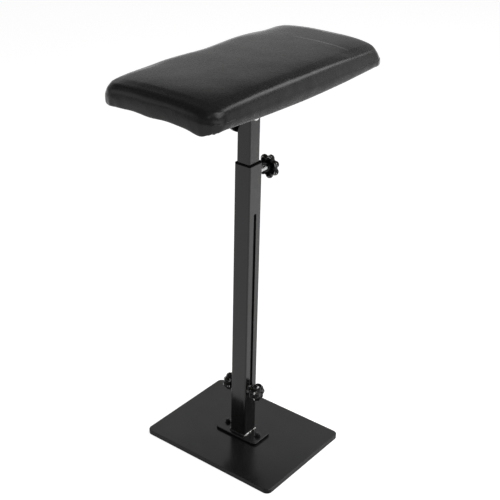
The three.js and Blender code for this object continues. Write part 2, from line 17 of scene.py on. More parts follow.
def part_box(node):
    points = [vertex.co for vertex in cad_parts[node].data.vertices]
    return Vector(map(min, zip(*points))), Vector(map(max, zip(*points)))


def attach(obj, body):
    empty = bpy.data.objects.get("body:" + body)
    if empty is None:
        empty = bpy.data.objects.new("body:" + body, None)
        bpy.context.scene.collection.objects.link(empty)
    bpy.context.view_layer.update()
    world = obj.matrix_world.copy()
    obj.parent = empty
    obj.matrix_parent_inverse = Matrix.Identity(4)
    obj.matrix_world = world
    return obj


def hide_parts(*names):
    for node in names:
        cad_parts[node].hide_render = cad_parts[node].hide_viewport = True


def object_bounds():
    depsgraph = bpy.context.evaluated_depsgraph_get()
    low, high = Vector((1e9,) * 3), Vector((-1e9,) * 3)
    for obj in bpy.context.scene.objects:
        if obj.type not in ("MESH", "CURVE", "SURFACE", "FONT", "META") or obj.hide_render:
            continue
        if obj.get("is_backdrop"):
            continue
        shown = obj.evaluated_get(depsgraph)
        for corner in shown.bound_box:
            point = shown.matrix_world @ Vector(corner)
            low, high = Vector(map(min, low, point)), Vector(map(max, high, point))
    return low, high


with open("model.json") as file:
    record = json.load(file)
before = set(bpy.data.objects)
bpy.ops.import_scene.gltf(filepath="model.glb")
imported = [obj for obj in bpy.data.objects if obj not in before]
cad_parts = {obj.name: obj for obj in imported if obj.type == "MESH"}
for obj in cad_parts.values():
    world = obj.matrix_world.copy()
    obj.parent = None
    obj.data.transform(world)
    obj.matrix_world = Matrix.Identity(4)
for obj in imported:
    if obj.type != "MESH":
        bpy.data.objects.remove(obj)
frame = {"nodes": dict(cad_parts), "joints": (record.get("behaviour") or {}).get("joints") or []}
cad_low, cad_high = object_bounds()
MM = 0.001


def show(name, data):
    """An object at the origin for a mesh, a lamp or a camera."""
    made = bpy.data.objects.new(name, data)
    bpy.context.scene.collection.objects.link(made)
    return made


print("nodes", len(frame["nodes"]), "height in mm", round((cad_high.z - cad_low.z) / MM, 1))

# %% [markdown]
# ## The camera
# The photograph was matched with one camera, so the lens, the place and the three turns are known.
# They could be set as Euler angles, but Blender's camera looks along its own -Z, so it is clearer to work out
# the columns of its matrix, which are right, up and back.

# %% Place the camera
LENS_MM = 76.97
SENSOR_MM = 36.0
CLIP_START_M = 0.05
CAMERA_PLACE_MM = (-1183.7, -910.2, 1110.2)
CAMERA_AZIMUTH_DEG = -52.647
CAMERA_ELEVATION_DEG = 26.841
CAMERA_ROLL_DEG = 1.316


def camera_matrix():
    azimuth, elevation, roll = (
        math.radians(a) for a in (CAMERA_AZIMUTH_DEG, CAMERA_ELEVATION_DEG, CAMERA_ROLL_DEG))
    back = Vector((math.sin(azimuth) * math.cos(elevation), -math.cos(azimuth) * math.cos(elevation),
                   math.sin(elevation)))
    level = Vector((math.cos(azimuth), math.sin(azimuth), 0))
    above = back.cross(level)
    right = math.cos(roll) * level + math.sin(roll) * above
    up = math.cos(roll) * above - math.sin(roll) * level
    turn = Matrix((right, up, back)).transposed().to_4x4()
    return Matrix.Translation(Vector(CAMERA_PLACE_MM) * MM) @ turn


camera = show("camera", bpy.data.cameras.new("camera"))
camera.data.sensor_width = SENSOR_MM
camera.data.lens = LENS_MM
camera.data.clip_start = CLIP_START_M
camera.matrix_world = camera_matrix()
bpy.context.scene.camera = camera
print("camera at", [round(c, 3) for c in camera.location])

# %% [markdown]
# ## Shader maths as plain expressions
# A material is a graph of nodes. They could be linked one by one, but then a formula is hard to see. Wrapping
# one socket in a small class lets an expression such as `1 - mask * 0.5` add its Math nodes by itself.


# %% A socket that adds and multiplies
class Wire:
    """One output socket, with arithmetic."""

    def __init__(self, shader, socket):
        self.shader = shader
        self.socket = socket

    def maths(self, operation, *others):
        return self.shader.node("ShaderNodeMath", {"operation": operation}, (self, *others))

    def __add__(self, other):
        return self.maths("ADD", other)

    def __mul__(self, other):
        return self.maths("MULTIPLY", other)

    def __sub__(self, other):
        return self.maths("SUBTRACT", other)

    def __rsub__(self, other):
        return self.shader.node("ShaderNodeMath", {"operation": "SUBTRACT"}, (other, self))

    __radd__ = __add__
    __rmul__ = __mul__

    def clamped(self):
        return self.shader.node("ShaderNodeClamp", {}, (self,))

    def other_output(self, name):
        """Another output of the node that this socket belongs to."""
        return Wire(self.shader, self.socket.node.outputs[name])


print("a wire knows", [name for name in vars(Wire) if not name.startswith("_")])

# %% [markdown]
# ## One method for every other node
# Every node is made the same way: its settings first, then its sockets, each with a value or a link. The
# methods below it only name what the finishes use often, such as noise, a range of values or a bump.


# %% A node tree under construction
class Shader:
    """Adds nodes to one tree."""

    def __init__(self, tree):
        self.tree = tree
        tree.nodes.clear()

    def node(self, kind, settings=None, values=(), output=0):
        """Adds a node: its settings first, then the values or links of its sockets by place or name."""
        made = self.tree.nodes.new(kind)
        for name, value in (settings or {}).items():
            setattr(made, name, value)
        pairs = values.items() if isinstance(values, dict) else enumerate(values)
        for key, value in pairs:
            if isinstance(value, Wire):
                self.tree.links.new(value.socket, made.inputs[key])
            elif value is not None:
                made.inputs[key].default_value = value
        return Wire(self, made.outputs[output]) if made.outputs else made

    def mixed(self, share, first, second):
        """A colour between two colours."""
        return self.node("ShaderNodeMix", {"data_type": "RGBA"}, {0: share, 6: first, 7: second}, output=2)

    def noise(self, place, scale, detail=2.0, roughness=0.5):
        return self.node("ShaderNodeTexNoise", {}, {"Vector": place, "Scale": scale, "Detail": detail,
                                                   "Roughness": roughness})

    def place(self):
        """Object coordinates, in metres: the pattern stays on the piece when the piece moves."""
        return self.node("ShaderNodeTexCoord", {}, (), output=3)

    def stretched(self, place, scale):
        return self.node("ShaderNodeMapping", {}, {"Vector": place, "Scale": scale})

    def axis(self, vector, number):
        """One of a vector's three numbers: 0 for x, 1 for y, 2 for z."""
        return self.node("ShaderNodeSeparateXYZ", {}, (vector,), output=number)

    def risen(self, value, low, high):
        """0 up to the low value and 1 from the high one."""
        return self.node("ShaderNodeMapRange", {}, (value, low, high, 0, 1))

    def bump(self, height, depth_mm):
        return self.node("ShaderNodeBump", {}, {"Strength": 1.0, "Distance": depth_mm * MM, "Height": height})


print("a shader knows", [name for name in vars(Shader) if not name.startswith("_")])

# %% [markdown]
# ## A material from a function
# Each finish below is a function that returns the sockets of one Principled shader, by name. What varies over
# the surface is a wire, and what doesn't is a plain number, which is set on the shader's own socket.


# %% Materials
def grey(level):
    return (level, level, level, 1.0)


def node_material(name):
    """An empty material and its node tree."""
    material = bpy.data.materials.new(name)
    material.use_nodes = True
    return material, Shader(material.node_tree)


def new_material(name, build):
    """Makes a material whose build function returns the sockets of one Principled shader."""
    material, shader = node_material(name)
    surface = shader.node("ShaderNodeBsdfPrincipled", {}, build(shader))
    shader.node("ShaderNodeOutputMaterial", {}, {"Surface": surface})
    return material


print("material helpers ready")

# %% [markdown]
# ## The floor
# The photograph has a white floor with hardly a shadow. A strongly lit floor would do that, but it would also
# light the stand from below. So the floor glows for the camera and for mirror and glass rays alone, bounces
# like a pale floor for all other light, and keeps a part that is lit, so that the stand's shadow stays on it.

# %% Floor
FLOOR_SIZE_M = 30.0
FLOOR_DROP_MM = 0.2
FLOOR_GLOW = 0.86
FLOOR_LIT = 0.45
FLOOR_BOUNCE = 0.75


def white_floor():
    material, shader = node_material("white_floor")
    camera_ray = shader.node("ShaderNodeLightPath")
    shows = (camera_ray + camera_ray.other_output("Is Glossy Ray")
             + camera_ray.other_output("Is Transmission Ray")).clamped()
    bounce = shader.node("ShaderNodeBsdfDiffuse", {}, (grey(FLOOR_BOUNCE),))
    lit = shader.node("ShaderNodeBsdfDiffuse", {}, (grey(FLOOR_LIT),))
    glow = shader.node("ShaderNodeEmission", {}, (grey(1.0), FLOOR_GLOW))
    shown = shader.node("ShaderNodeAddShader", {}, (lit, glow))
    surface = shader.node("ShaderNodeMixShader", {}, (shows, bounce, shown))
    shader.node("ShaderNodeOutputMaterial", {}, {"Surface": surface})
    return material


floor_mesh = bpy.data.meshes.new("floor")
half_floor = FLOOR_SIZE_M / 2
floor_mesh.from_pydata([(x * half_floor, y * half_floor, -FLOOR_DROP_MM * MM)
                        for x, y in ((-1, -1), (1, -1), (1, 1), (-1, 1))], [], [(0, 1, 2, 3)])
floor_mesh.materials.append(white_floor())
floor = show("floor", floor_mesh)
floor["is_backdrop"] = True
print("floor", FLOOR_SIZE_M, "m across")

# %% [markdown]
# ## The world
# What the enamel and the leathercloth mirror matters more here than what lights them. The room is pale up to
# a little over a third of the way to overhead, and dark above that. So the pad's rounded shoulder, which
# looks high up, shows the dark band that the photograph has. A smooth step between two levels gives that.

# %% World: pale near the horizon, darker overhead
HORIZON_LEVEL = 0.36
OVERHEAD_LEVEL = 0.10
FALL_START = 0.375
FALL_END = 0.52


def studio_world():
    world = bpy.data.worlds.new("studio")
    world.use_nodes = True
    shader = Shader(world.node_tree)
    upward = shader.axis(shader.node("ShaderNodeTexCoord"), 2)
    level = shader.node("ShaderNodeMapRange", {"interpolation_type": "SMOOTHSTEP"},
                        (upward, FALL_START, FALL_END, HORIZON_LEVEL, OVERHEAD_LEVEL))
    background = shader.node("ShaderNodeBackground", {}, (grey(1.0), level))
    shader.node("ShaderNodeOutputWorld", {}, (background,))
    return world


bpy.context.scene.world = studio_world()
bpy.context.scene.view_settings.view_transform = "Standard"
print("world falls from", HORIZON_LEVEL, "to", OVERHEAD_LEVEL)

# %% [markdown]
# ## Flat lamps
# Each lamp is a flat panel that faces the stand. A black glossy piece shows it as a shape, so its strength is
# given as the level that a perfect mirror would show, and the lamp's power is worked out from its area.


# %% Lamp panels and where they stand
def lamp_panel(name, place, aim, width, height, radiance):
    """A flat lamp that faces the aim point. Its brightness is given as a reflection would show it."""
    lamp = show(name, bpy.data.lights.new(name, "AREA"))
    lamp.data.shape = "RECTANGLE"
    lamp.data.size = width
    lamp.data.size_y = height
    lamp.data.energy = radiance * math.pi * width * height
    lamp.location = place
    lamp.rotation_mode = "QUATERNION"
    lamp.rotation_quaternion = (Vector(aim) - Vector(place)).to_track_quat("-Z", "Y")
    lamp.visible_camera = False
    return lamp


def placed(azimuth_deg, elevation_deg, distance, height):
    """A point that far off, seen from the post's axis at a height, with azimuth 0 along +X."""
    azimuth, elevation = math.radians(azimuth_deg), math.radians(elevation_deg)
    return Vector((distance * math.cos(azimuth), distance * math.sin(azimuth),
                   height + distance * math.tan(elevation)))


print("a lamp straight ahead would stand at", tuple(placed(0, 0, 1.0, 0)))

# %% [markdown]
# ## Panels behind the stand
# From the camera, the base plate and the flat of the pad mirror what stands behind them. Two strips, one
# above the other, make the pad brighter towards its far side, and a near panel lights the plate in the same
# way. One tall panel would have made both alike.

# %% Three panels behind
BEHIND_DEG = 37.5
STRIP_DISTANCE_M = 1.6
STRIP_WIDTH_M = 3.2
BACK_STRIPS = (("back_middle", 0.87, 1.06, 0.10), ("back_high", 1.07, 1.33, 0.33))
PLATE_PANEL = ("plate_panel", 0.34, 0.72, 0.34)
PLATE_PANEL_DISTANCE_M = 0.75
PLATE_PANEL_WIDTH_M = 1.3


def panel_behind(name, foot, head, radiance, distance, width):
    """An upright panel behind the stand, from its foot's height to its head's."""
    middle = (foot + head) / 2
    lamp_panel(name, placed(BEHIND_DEG, 0, distance, middle), (0, 0, middle), width, head - foot, radiance)


for strip in BACK_STRIPS:
    panel_behind(*strip, STRIP_DISTANCE_M, STRIP_WIDTH_M)
panel_behind(*PLATE_PANEL, PLATE_PANEL_DISTANCE_M, PLATE_PANEL_WIDTH_M)
print("panels behind", len(BACK_STRIPS) + 1)

# %% [markdown]
# ## Soft boxes
# The rest stand round the camera's side. The right box draws the broad highlight along the pad's long
# shoulder, the corner box the one on its near corner, and the side and end boxes fill its upright sides.
# The small key lamp makes the glints on the knobs, and the post's long face mirrors a lamp over the floor.

# %% Soft boxes, key lamp and floor wash
# Azimuth and elevation in degrees, then in metres distance, height aimed at, width and height, and radiance
SOFT_BOXES = {
    "right_box": (-17, 41, 2.0, 0.65, 1.3, 1.0, 4.2),
    "corner_box": (-76, 49, 1.6, 0.65, 1.3, 0.9, 5.5),
    "side_box": (-37, 12, 2.1, 0.65, 1.4, 1.1, 0.70),
    "end_box": (136, 21, 2.1, 0.65, 1.3, 1.1, 0.7),
    "key_lamp": (-138, 50, 2.0, 0.45, 0.20, 0.20, 14.0),
    "front_fill": (-100, 10, 2.4, 0.6, 2.0, 1.2, 1.8),
}
WASH_AZIMUTH_DEG = -37.5
WASH_DISTANCE_M = 1.0
WASH_HEIGHT_M = 1.3
WASH_SIZE_M = 0.5
WASH_RADIANCE = 4.0
WASH_SPREAD_DEG = 75
for name, (azimuth, elevation, distance, aimed_at, *panel) in SOFT_BOXES.items():
    lamp_panel(name, placed(azimuth, elevation, distance, aimed_at), (0, 0, aimed_at), *panel)
wash_spot = placed(WASH_AZIMUTH_DEG, 0, WASH_DISTANCE_M, 0)
floor_wash = lamp_panel("floor_wash", wash_spot + Vector((0, 0, WASH_HEIGHT_M)), wash_spot,
                        WASH_SIZE_M, WASH_SIZE_M, WASH_RADIANCE)
floor_wash.data.spread = math.radians(WASH_SPREAD_DEG)

# %% [markdown]
# ## Black enamel
# Black on black needs its differences from gloss and grain. The post is glossy stove enamel over drawn tube,
# whose streaks show through it, and the plate is a more satin one. A flat black would do neither: slow noise
# smudges the gloss, fine noise gives the orange-peel, and a rough, busy one is the dust that settles on it.

# %% Enamel on post and plates
SMUDGE_GLOSS = 0.14
STREAK_GLOSS = 0.22
STREAK_RELIEF = 2.5
SPECK_RELIEF = 0.25
CLEAN_SHARE = 0.3
DUSTY_SHARE = 2.2
ALONG_TUBE = (1.0, 1.0, 0.02)


def enamel(level, roughness, ior, peel_mm, drawn=0.0):
    """Orange-peel, smudges in the gloss, and on drawn tube the streaks of the steel below."""
    def build(shader):
        place = shader.place()
        smudge = shader.noise(place, scale=16.0, detail=4.0, roughness=0.6)
        peel = shader.noise(place, scale=420.0)
        speck = shader.noise(place, scale=1900.0, detail=1.0)
        dust = shader.noise(place, scale=150.0, detail=8.0, roughness=0.8)
        streaks = shader.noise(shader.stretched(place, ALONG_TUBE), scale=330.0)
        middle = (SMUDGE_GLOSS + STREAK_GLOSS * drawn) / 2
        relief = peel + speck * SPECK_RELIEF + streaks * (STREAK_RELIEF * drawn)
        return {
            "Base Color": shader.mixed(dust, grey(level * CLEAN_SHARE), grey(level * DUSTY_SHARE)),
            "Roughness": smudge * SMUDGE_GLOSS + streaks * (STREAK_GLOSS * drawn) + (roughness - middle),
            "IOR": ior,
            "Normal": shader.bump(relief, peel_mm),
        }
    return build


post_enamel = new_material("post_enamel", enamel(0.006, 0.17, 1.42, 0.010, drawn=0.6))
# The rim enamel is a darker, less glossy copy of the plate's: painted shade on the plates' upright sides.
shaded_rim_enamel = new_material("shaded_rim_enamel", enamel(0.004, 0.35, 1.22, 0.010))
plate_enamel = new_material("plate_enamel", enamel(0.007, 0.24, 1.51, 0.016))
black_steel = new_material("black_steel", enamel(0.008, 0.20, 1.65, 0.010))
print("enamels", [m.name for m in (post_enamel, shaded_rim_enamel, plate_enamel, black_steel)])

# %% [markdown]
# ## Zinc plating and brass
# The bolts, washers, screws and staples are zinc plated, and the knobs hold turned brass inserts. Both are
# bare metal, so they are fully metallic, and their look lies in a faint tint in patches and a fine grain in
# the gloss. The bolts at the foot are blackened instead, which the enamel above already gives.

# %% Plated metal
GRAIN_GLOSS = 0.12
PATCH_GLOSS = 0.10
METAL_GRAIN_MM = 0.01


def metal(colour, tint, roughness):
    """Plated metal: a faint tint in patches, and a fine grain in its gloss."""
    def build(shader):
        place = shader.place()
        patches = shader.noise(place, scale=160.0, detail=3.0)
        grain = shader.noise(place, scale=2600.0)
        middle = (GRAIN_GLOSS + PATCH_GLOSS) / 2
        return {
            "Base Color": shader.mixed(patches, colour, tint),
            "Metallic": 1.0,
            "Roughness": grain * GRAIN_GLOSS + patches * PATCH_GLOSS + (roughness - middle),
            "Normal": shader.bump(grain, METAL_GRAIN_MM),
        }
    return build


zinc = new_material("zinc", metal((0.62, 0.64, 0.66, 1), (0.56, 0.56, 0.53, 1), 0.26))
brass = new_material("brass", metal((0.66, 0.47, 0.19, 1), (0.55, 0.37, 0.14, 1), 0.30))
print("metals", zinc.name, brass.name)

# %% [markdown]
# ## The weld's finish
# The post was welded to its foot and enamelled, and along the two sides across Y the bead has pale bare
# patches, whose pale colour also paints in the glints along the bead. Two materials could meet there, but the
# real border is ragged. One material does it, with a mask that is a place across the bead times blots of
# noise.

# %% Weld, enamelled over, with bare patches painted pale as glints
BARE_FROM_MM = 15.4
BARE_BORDER_MM = 0.8
PALE_METAL_AND_GLINT = (0.86, 0.86, 0.85, 1)
HEAT_TINT = (0.55, 0.53, 0.50, 1)


def weld_finish(shader):
    place = shader.place()
    across = shader.axis(place, 1).maths("ABSOLUTE")
    glint_side = shader.risen(across, BARE_FROM_MM * MM, (BARE_FROM_MM + BARE_BORDER_MM) * MM)
    blots = shader.noise(place, scale=330.0)
    # Pale patches: bare metal, painted pale enough to stand in for the bead's glints.
    bare_and_glint = glint_side * shader.risen(blots, 0.40, 0.50)
    tint = shader.mixed(shader.noise(place, scale=700.0), PALE_METAL_AND_GLINT, HEAT_TINT)
    return {
        "Base Color": shader.mixed(bare_and_glint, grey(0.006), tint),
        "Metallic": bare_and_glint * 0.5,
        "Roughness": blots * 0.2 + 0.14,
        "Normal": shader.bump(shader.noise(place, scale=900.0), depth_mm=0.04),
    }


weld_metal = new_material("weld_metal", weld_finish)
print("bare from", BARE_FROM_MM, "mm off the post's axis")

# %% [markdown]
# ## Knob plastic
# The knobs are moulded from black plastic with a fine spark-eroded grain. Their edges are painted pale:
# partly scuffs, and partly painted glints on the lobes' crowns and the rims, where highlights would fall.
# Where that is
# can't be told from the place alone, so each knob carries an attribute named edge, made with its mesh below:
# high on those pale edges, and -1 in the hollow back, which stays dull.

# %% Knob plastic with worn edges and painted glints
SCUFF_AND_GLINT_EXCESS = 0.8
DULL_BACK = -0.5


def moulded(shader):
    """Fine grain, with pale scuffs and painted glints where the edge attribute is high."""
    place = shader.place()
    haze = shader.noise(place, scale=60.0, detail=3.0)
    edge = shader.node("ShaderNodeAttribute", {"attribute_name": "edge"}, (), output=2)
    specks = shader.risen(shader.noise(place, scale=620.0), 0.56, 0.64)
    # Pale where edge is high: scuffs, and painted glints that stand in for highlights on lobes and rims.
    scuff_and_glint = (specks * edge + (edge - 1.0) * SCUFF_AND_GLINT_EXCESS).clamped()
    black = shader.mixed(haze, grey(0.004), grey(0.008))
    return {
        "Base Color": shader.mixed(scuff_and_glint, black, grey(0.75)),
        "Roughness": haze * 0.08 + 0.16 + scuff_and_glint * 0.25 + (edge * DULL_BACK).clamped(),
        "IOR": 1.30,
        "Normal": shader.bump(shader.noise(place, scale=1400.0, detail=3.0), depth_mm=0.015),
    }


knob_plastic = new_material("knob_plastic", moulded)
print("knob plastic reads the attribute edge")

# %% [markdown]
# ## The bush's plastic
# A thin bush closes the outer tube's mouth and shows as a dark line under the inner tube. Its black with next
# to no gloss mirrors almost nothing, so it is painted shade for the gap there. It needs no grain at that
# size.

# %% Matt plastic, painted shade


def matt_shade_plastic(shader):
    haze = shader.noise(shader.place(), scale=300.0, detail=3.0)
    return {
        "Base Color": shader.mixed(haze, grey(0.002), grey(0.004)),
        "Roughness": haze * 0.1 + 0.8,
        "Specular IOR Level": 0.06,
    }


bush_painted_shade = new_material("bush_painted_shade", matt_shade_plastic)
print("bush finish", bush_painted_shade.name)

# %% [markdown]
# ## The crease in the cover
# One faint pale line crosses the far end of the top: a low ridge in the bump, with a pale line in the colour
# along it. It could be cut into the mesh, but it is only a mark in the surface. So it is the bell curve of
# the distance to a leaning line, faded towards both ends.

# %% A pressed line
CREASE_X_MM = 128.0
CREASE_LEAN = -0.08
CREASE_MIDDLE_MM = -30.0
CREASE_REACH_MM = 50.0
CREASE_WIDTH_MM = 1.7


def crease(shader, place):
    """1 on the line, falling to 0 beside it and towards its ends."""
    x, y = shader.axis(place, 0), shader.axis(place, 1)
    off = (x - y * CREASE_LEAN - CREASE_X_MM * MM) * (1 / (CREASE_WIDTH_MM * MM))
    line = (off * off * -1.0).maths("EXPONENT")
    fade = (1 - (y - CREASE_MIDDLE_MM * MM).maths("ABSOLUTE") * (1 / (CREASE_REACH_MM * MM))).clamped()
    return line * fade.maths("SQRT")


print("crease", CREASE_REACH_MM * 2, "mm long at x", CREASE_X_MM)

# %% [markdown]
# ## Leathercloth
# Leathercloth is vinyl pressed with small pebbles between fine valleys. Smooth Voronoi cells are such
# pebbles, finer noise roughens them, and coarser noise lets the gloss wander as it does on a used cover.

# %% Leathercloth
PEBBLE_RELIEF = 0.8
FIBRE_RELIEF = 0.35
MOTTLE_RELIEF = 1.2
CREASE_RELIEF = 3.0


def leather(shader):
    """Small pebbles between fine valleys, over slow variations in gloss, as pressed vinyl has."""
    place = shader.place()
    cells = shader.node("ShaderNodeTexVoronoi", {"feature": "SMOOTH_F1"},
                        {"Vector": place, "Scale": 620.0, "Smoothness": 0.6})
    fibres = shader.noise(place, scale=1500.0, detail=3.0, roughness=0.6)
    wander = shader.noise(place, scale=9.0, detail=4.0, roughness=0.55)
    mottle = shader.noise(place, scale=190.0, detail=3.0, roughness=0.6)
    pressed = crease(shader, place)
    height = ((1 - cells) * PEBBLE_RELIEF + fibres * FIBRE_RELIEF + mottle * MOTTLE_RELIEF
              + pressed * CREASE_RELIEF)
    return {
        "Base Color": shader.mixed(pressed, shader.mixed(mottle, grey(0.008), grey(0.017)), grey(0.16)),
        "Roughness": wander * 0.08 + mottle * 0.12 + 0.17,
        "IOR": 1.34,
        "Normal": shader.bump(height, depth_mm=0.07),
    }


leathercloth = new_material("leathercloth", leather)
print("leathercloth ready")

# %% [markdown]
# ## Foam
# The foam is hidden under the cover and is still finished, because the part comes apart: yellowish, with
# open cells and a slow stain.

# %% Open-cell foam


def open_foam(shader):
    place = shader.place()
    cells = shader.node("ShaderNodeTexVoronoi", {}, {"Vector": place, "Scale": 900.0})
    stain = shader.noise(place, scale=20.0, detail=3.0)
    return {
        "Base Color": shader.mixed(stain, (0.66, 0.60, 0.42, 1), (0.76, 0.70, 0.52, 1)),
        "Roughness": 0.95,
        "Normal": shader.bump(cells, depth_mm=0.5),
    }


pad_foam_finish = new_material("open_foam", open_foam)
print("foam ready")

# %% [markdown]
# ## Plywood
# The board shows from below between the hem's edges. Its faces have long grain, and its sawn edge shows dark
# and pale plies. A face points up or down and the edge doesn't, so one material tells them apart by the
# surface's own direction, and the plies are a wave in height.

# %% Plywood
PLY_PAIR_M = 0.0028
GRAIN_STRETCH = (1.0, 22.0, 22.0)
PORE_STRETCH = (1.0, 30.0, 30.0)


def veneer(shader):
    """Long grain on the faces, and dark and pale plies on the sawn edge."""
    place = shader.place()
    grain = shader.noise(shader.stretched(place, GRAIN_STRETCH), scale=28.0, detail=6.0, roughness=0.65)
    pores = shader.noise(shader.stretched(place, PORE_STRETCH), scale=150.0)
    plies = (shader.axis(place, 2) * (2 * math.pi / PLY_PAIR_M)).maths("SINE") * 0.5 + 0.5
    normal = shader.node("ShaderNodeNewGeometry", {}, (), output=1)
    upward = shader.axis(normal, 2).maths("ABSOLUTE")
    face = shader.mixed(grain, (0.42, 0.26, 0.12, 1), (0.62, 0.43, 0.24, 1))
    edge = shader.mixed(plies, (0.26, 0.15, 0.07, 1), (0.58, 0.40, 0.22, 1))
    return {
        "Base Color": shader.mixed(upward, edge, face),
        "Roughness": grain * 0.2 + 0.6,
        "Normal": shader.bump(pores, depth_mm=0.12),
    }


plywood = new_material("plywood", veneer)
print("materials", [m.name for m in bpy.data.materials])

# %% [markdown]
# ## Geometry Nodes by name
# A Geometry Nodes group is a second kind of node tree. Three helpers add its nodes and link them by their
# sockets' names, and a fourth sets a modifier's inputs, which Blender knows by identifier and not by name.


# %% Groups, nodes and named inputs
def group_with(name, *extra):
    """A Geometry Nodes group that takes and gives geometry, with further named inputs."""
    group = bpy.data.node_groups.new(name, "GeometryNodeTree")
    group.interface.new_socket("Geometry", in_out="INPUT", socket_type="NodeSocketGeometry")
    for label, kind, value in extra:
        socket = group.interface.new_socket(label, in_out="INPUT", socket_type=kind)
        if value is not None:
            socket.default_value = value
    group.interface.new_socket("Geometry", in_out="OUTPUT", socket_type="NodeSocketGeometry")
    group.nodes.new("NodeGroupInput")
    group.nodes.new("NodeGroupOutput")
    return group


def add(group, kind, settings=None, **links):
    """Adds a node; a link's value is another node, a socket or a plain value, and spaces in names are __."""
    made = group.nodes.new(kind)
    for name, value in (settings or {}).items():
        setattr(made, name, value)
    for name, value in links.items():
        socket = made.inputs[name.replace("__", " ")]
        if isinstance(value, bpy.types.Node):
            value = value.outputs[0]
        if isinstance(value, bpy.types.NodeSocket):
            group.links.new(value, socket)
        else:
            socket.default_value = value
    return made


def entry(group, label):
    return group.nodes["Group Input"].outputs[label]


def leave(group, node):
    group.links.new(node.outputs[0], group.nodes["Group Output"].inputs[0])


def run_group(piece, group, inputs):
    """Puts a group on an object and sets its named inputs by identifier, before it is first evaluated."""
    modifier = piece.modifiers.new(group.name, "NODES")
    modifier.node_group = group
    for socket in group.interface.items_tree:
        if socket.item_type == "SOCKET" and socket.in_out == "INPUT" and socket.name in inputs:
            modifier[socket.identifier] = inputs[socket.name]


print("geometry helpers ready")

# %% [markdown]
# ## Smooth shading over the packed pieces
# The packed meshes are loose triangles with hard facets, and they aren't changed. A small group on top of
# each merges its corners in the finished picture and shades all but its real edges smooth.

# %% A group that smooths round faces
REAL_EDGE_DEG = 32
MERGE_M = 0.00002


def smooth_group():
    group = group_with("smooth_round_faces", ("Edge Angle", "NodeSocketFloat", math.radians(REAL_EDGE_DEG)))
    merged = add(group, "GeometryNodeMergeByDistance", Geometry=entry(group, "Geometry"), Distance=MERGE_M)
    smooth = add(group, "GeometryNodeSetShadeSmooth", Geometry=merged, Shade__Smooth=True)
    angle = add(group, "GeometryNodeInputMeshEdgeAngle")
    sharp = add(group, "FunctionNodeCompare", {"operation": "GREATER_THAN"}, A=angle.outputs[0],
                B=entry(group, "Edge Angle"))
    hard = add(group, "GeometryNodeSetShadeSmooth", {"domain": "EDGE"}, Geometry=smooth,
               Selection=sharp.outputs[0], Shade__Smooth=False)
    leave(group, hard)
    return group


smooth_faces = smooth_group()
print("faces stay sharp from", REAL_EDGE_DEG, "degrees")

# %% [markdown]
# ## Finishes of the packed pieces
# Small turned and bent pieces have their true shape already, so they only get a finish. The bolts at the foot
# are blackened, and all other fasteners are zinc plated.

# %% Give each packed piece its finish
ENDS = ("front", "rear")
NODE_FINISHES = (
    (post_enamel, ["tilt_bracket", "clamp_nut"]),
    (plywood, ["pad_board"]),
    (black_steel, [f"foot_{kind}_{end}" for end in ENDS for kind in ("bolt", "washer", "nut")]),
    (zinc, ["slot_bolt", "pivot_bolt", "tilt_spacer_washer", "tilt_knob_washer"]),
    (zinc, [f"{end}_slot_washer" for end in ENDS] + [f"bracket_screw_{number}" for number in range(1, 5)]),
    (brass, [f"{end}_knob_insert" for end in (*ENDS, "tilt")]),
)


def finish_node(name, material):
    node = frame["nodes"][name]
    node.data.materials.clear()
    node.data.materials.append(material)
    run_group(node, smooth_faces, {})


for material, node_names in NODE_FINISHES:
    for node_name in node_names:
        finish_node(node_name, material)
print("packed pieces finished", sum(len(node_names) for _, node_names in NODE_FINISHES))

# %% [markdown]
# ## Building a skin from rings
# Most pieces here are rings of points joined into a skin: a plate is rounded rectangles that grow and shrink,
# a knob is lobed circles. Spin and Extrude would make each kind in its own way, but one function that joins
# rings makes them all, and it always closes them.


# %% Skins and outlines
def ring_skin(rings, join_ends=False):
    """Quads between rings of equal length. The ends close with a face each, or join each other."""
    count = len(rings[0])
    points = np.concatenate([np.asarray(ring, float) for ring in rings])
    last = len(rings) if join_ends else len(rings) - 1
    faces = []
    for low in range(last):
        high = (low + 1) % len(rings)
        for i in range(count):
            after = (i + 1) % count
            faces.append((low * count + i, low * count + after, high * count + after, high * count + i))
    if not join_ends:
        faces.append(tuple(reversed(range(count))))
        faces.append(tuple(range((len(rings) - 1) * count, len(rings) * count)))
    return points, faces


def rounded_rectangle(half_x, half_y, radius, steps=8):
    """Plan points of a rectangle with round corners, anticlockwise from the +X side."""
    points = []
    for corner, (sign_x, sign_y) in enumerate(((1, 1), (-1, 1), (-1, -1), (1, -1))):
        for step in range(steps + 1):
            angle = (corner + step / steps) * math.pi / 2
            points.append((sign_x * (half_x - radius) + radius * math.cos(angle),
                           sign_y * (half_y - radius) + radius * math.sin(angle)))
    return np.array(points)


def at_height(outline, height):
    return np.column_stack([outline, np.full(len(outline), height)])


print("a rounded rectangle has", len(rounded_rectangle(1, 1, 0.5)), "points")

# %% [markdown]
# ## From a skin to a finished piece
# A finished piece has its mesh in place in the shared frame, its normals outwards, its real edges sharp, one
# finish and one body that it rides on. Weighting each corner's normal by the size of its faces keeps flat
# faces flat between their rounded edges, which a plain smooth shading doesn't.

# %% Meshes and pieces
DOUBLES_MM = 0.002


def skin_mesh(name, points_mm, faces, merge=False):
    """A mesh from points in millimetres, with its faces turned outwards."""
    mesh = bpy.data.meshes.new(name)
    mesh.from_pydata([tuple(p) for p in np.asarray(points_mm) * MM], [], faces)
    clean = bmesh.new()
    clean.from_mesh(mesh)
    if merge:
        bmesh.ops.remove_doubles(clean, verts=clean.verts, dist=DOUBLES_MM * MM)
    bmesh.ops.recalc_face_normals(clean, faces=clean.faces)
    clean.to_mesh(mesh)
    clean.free()
    return mesh


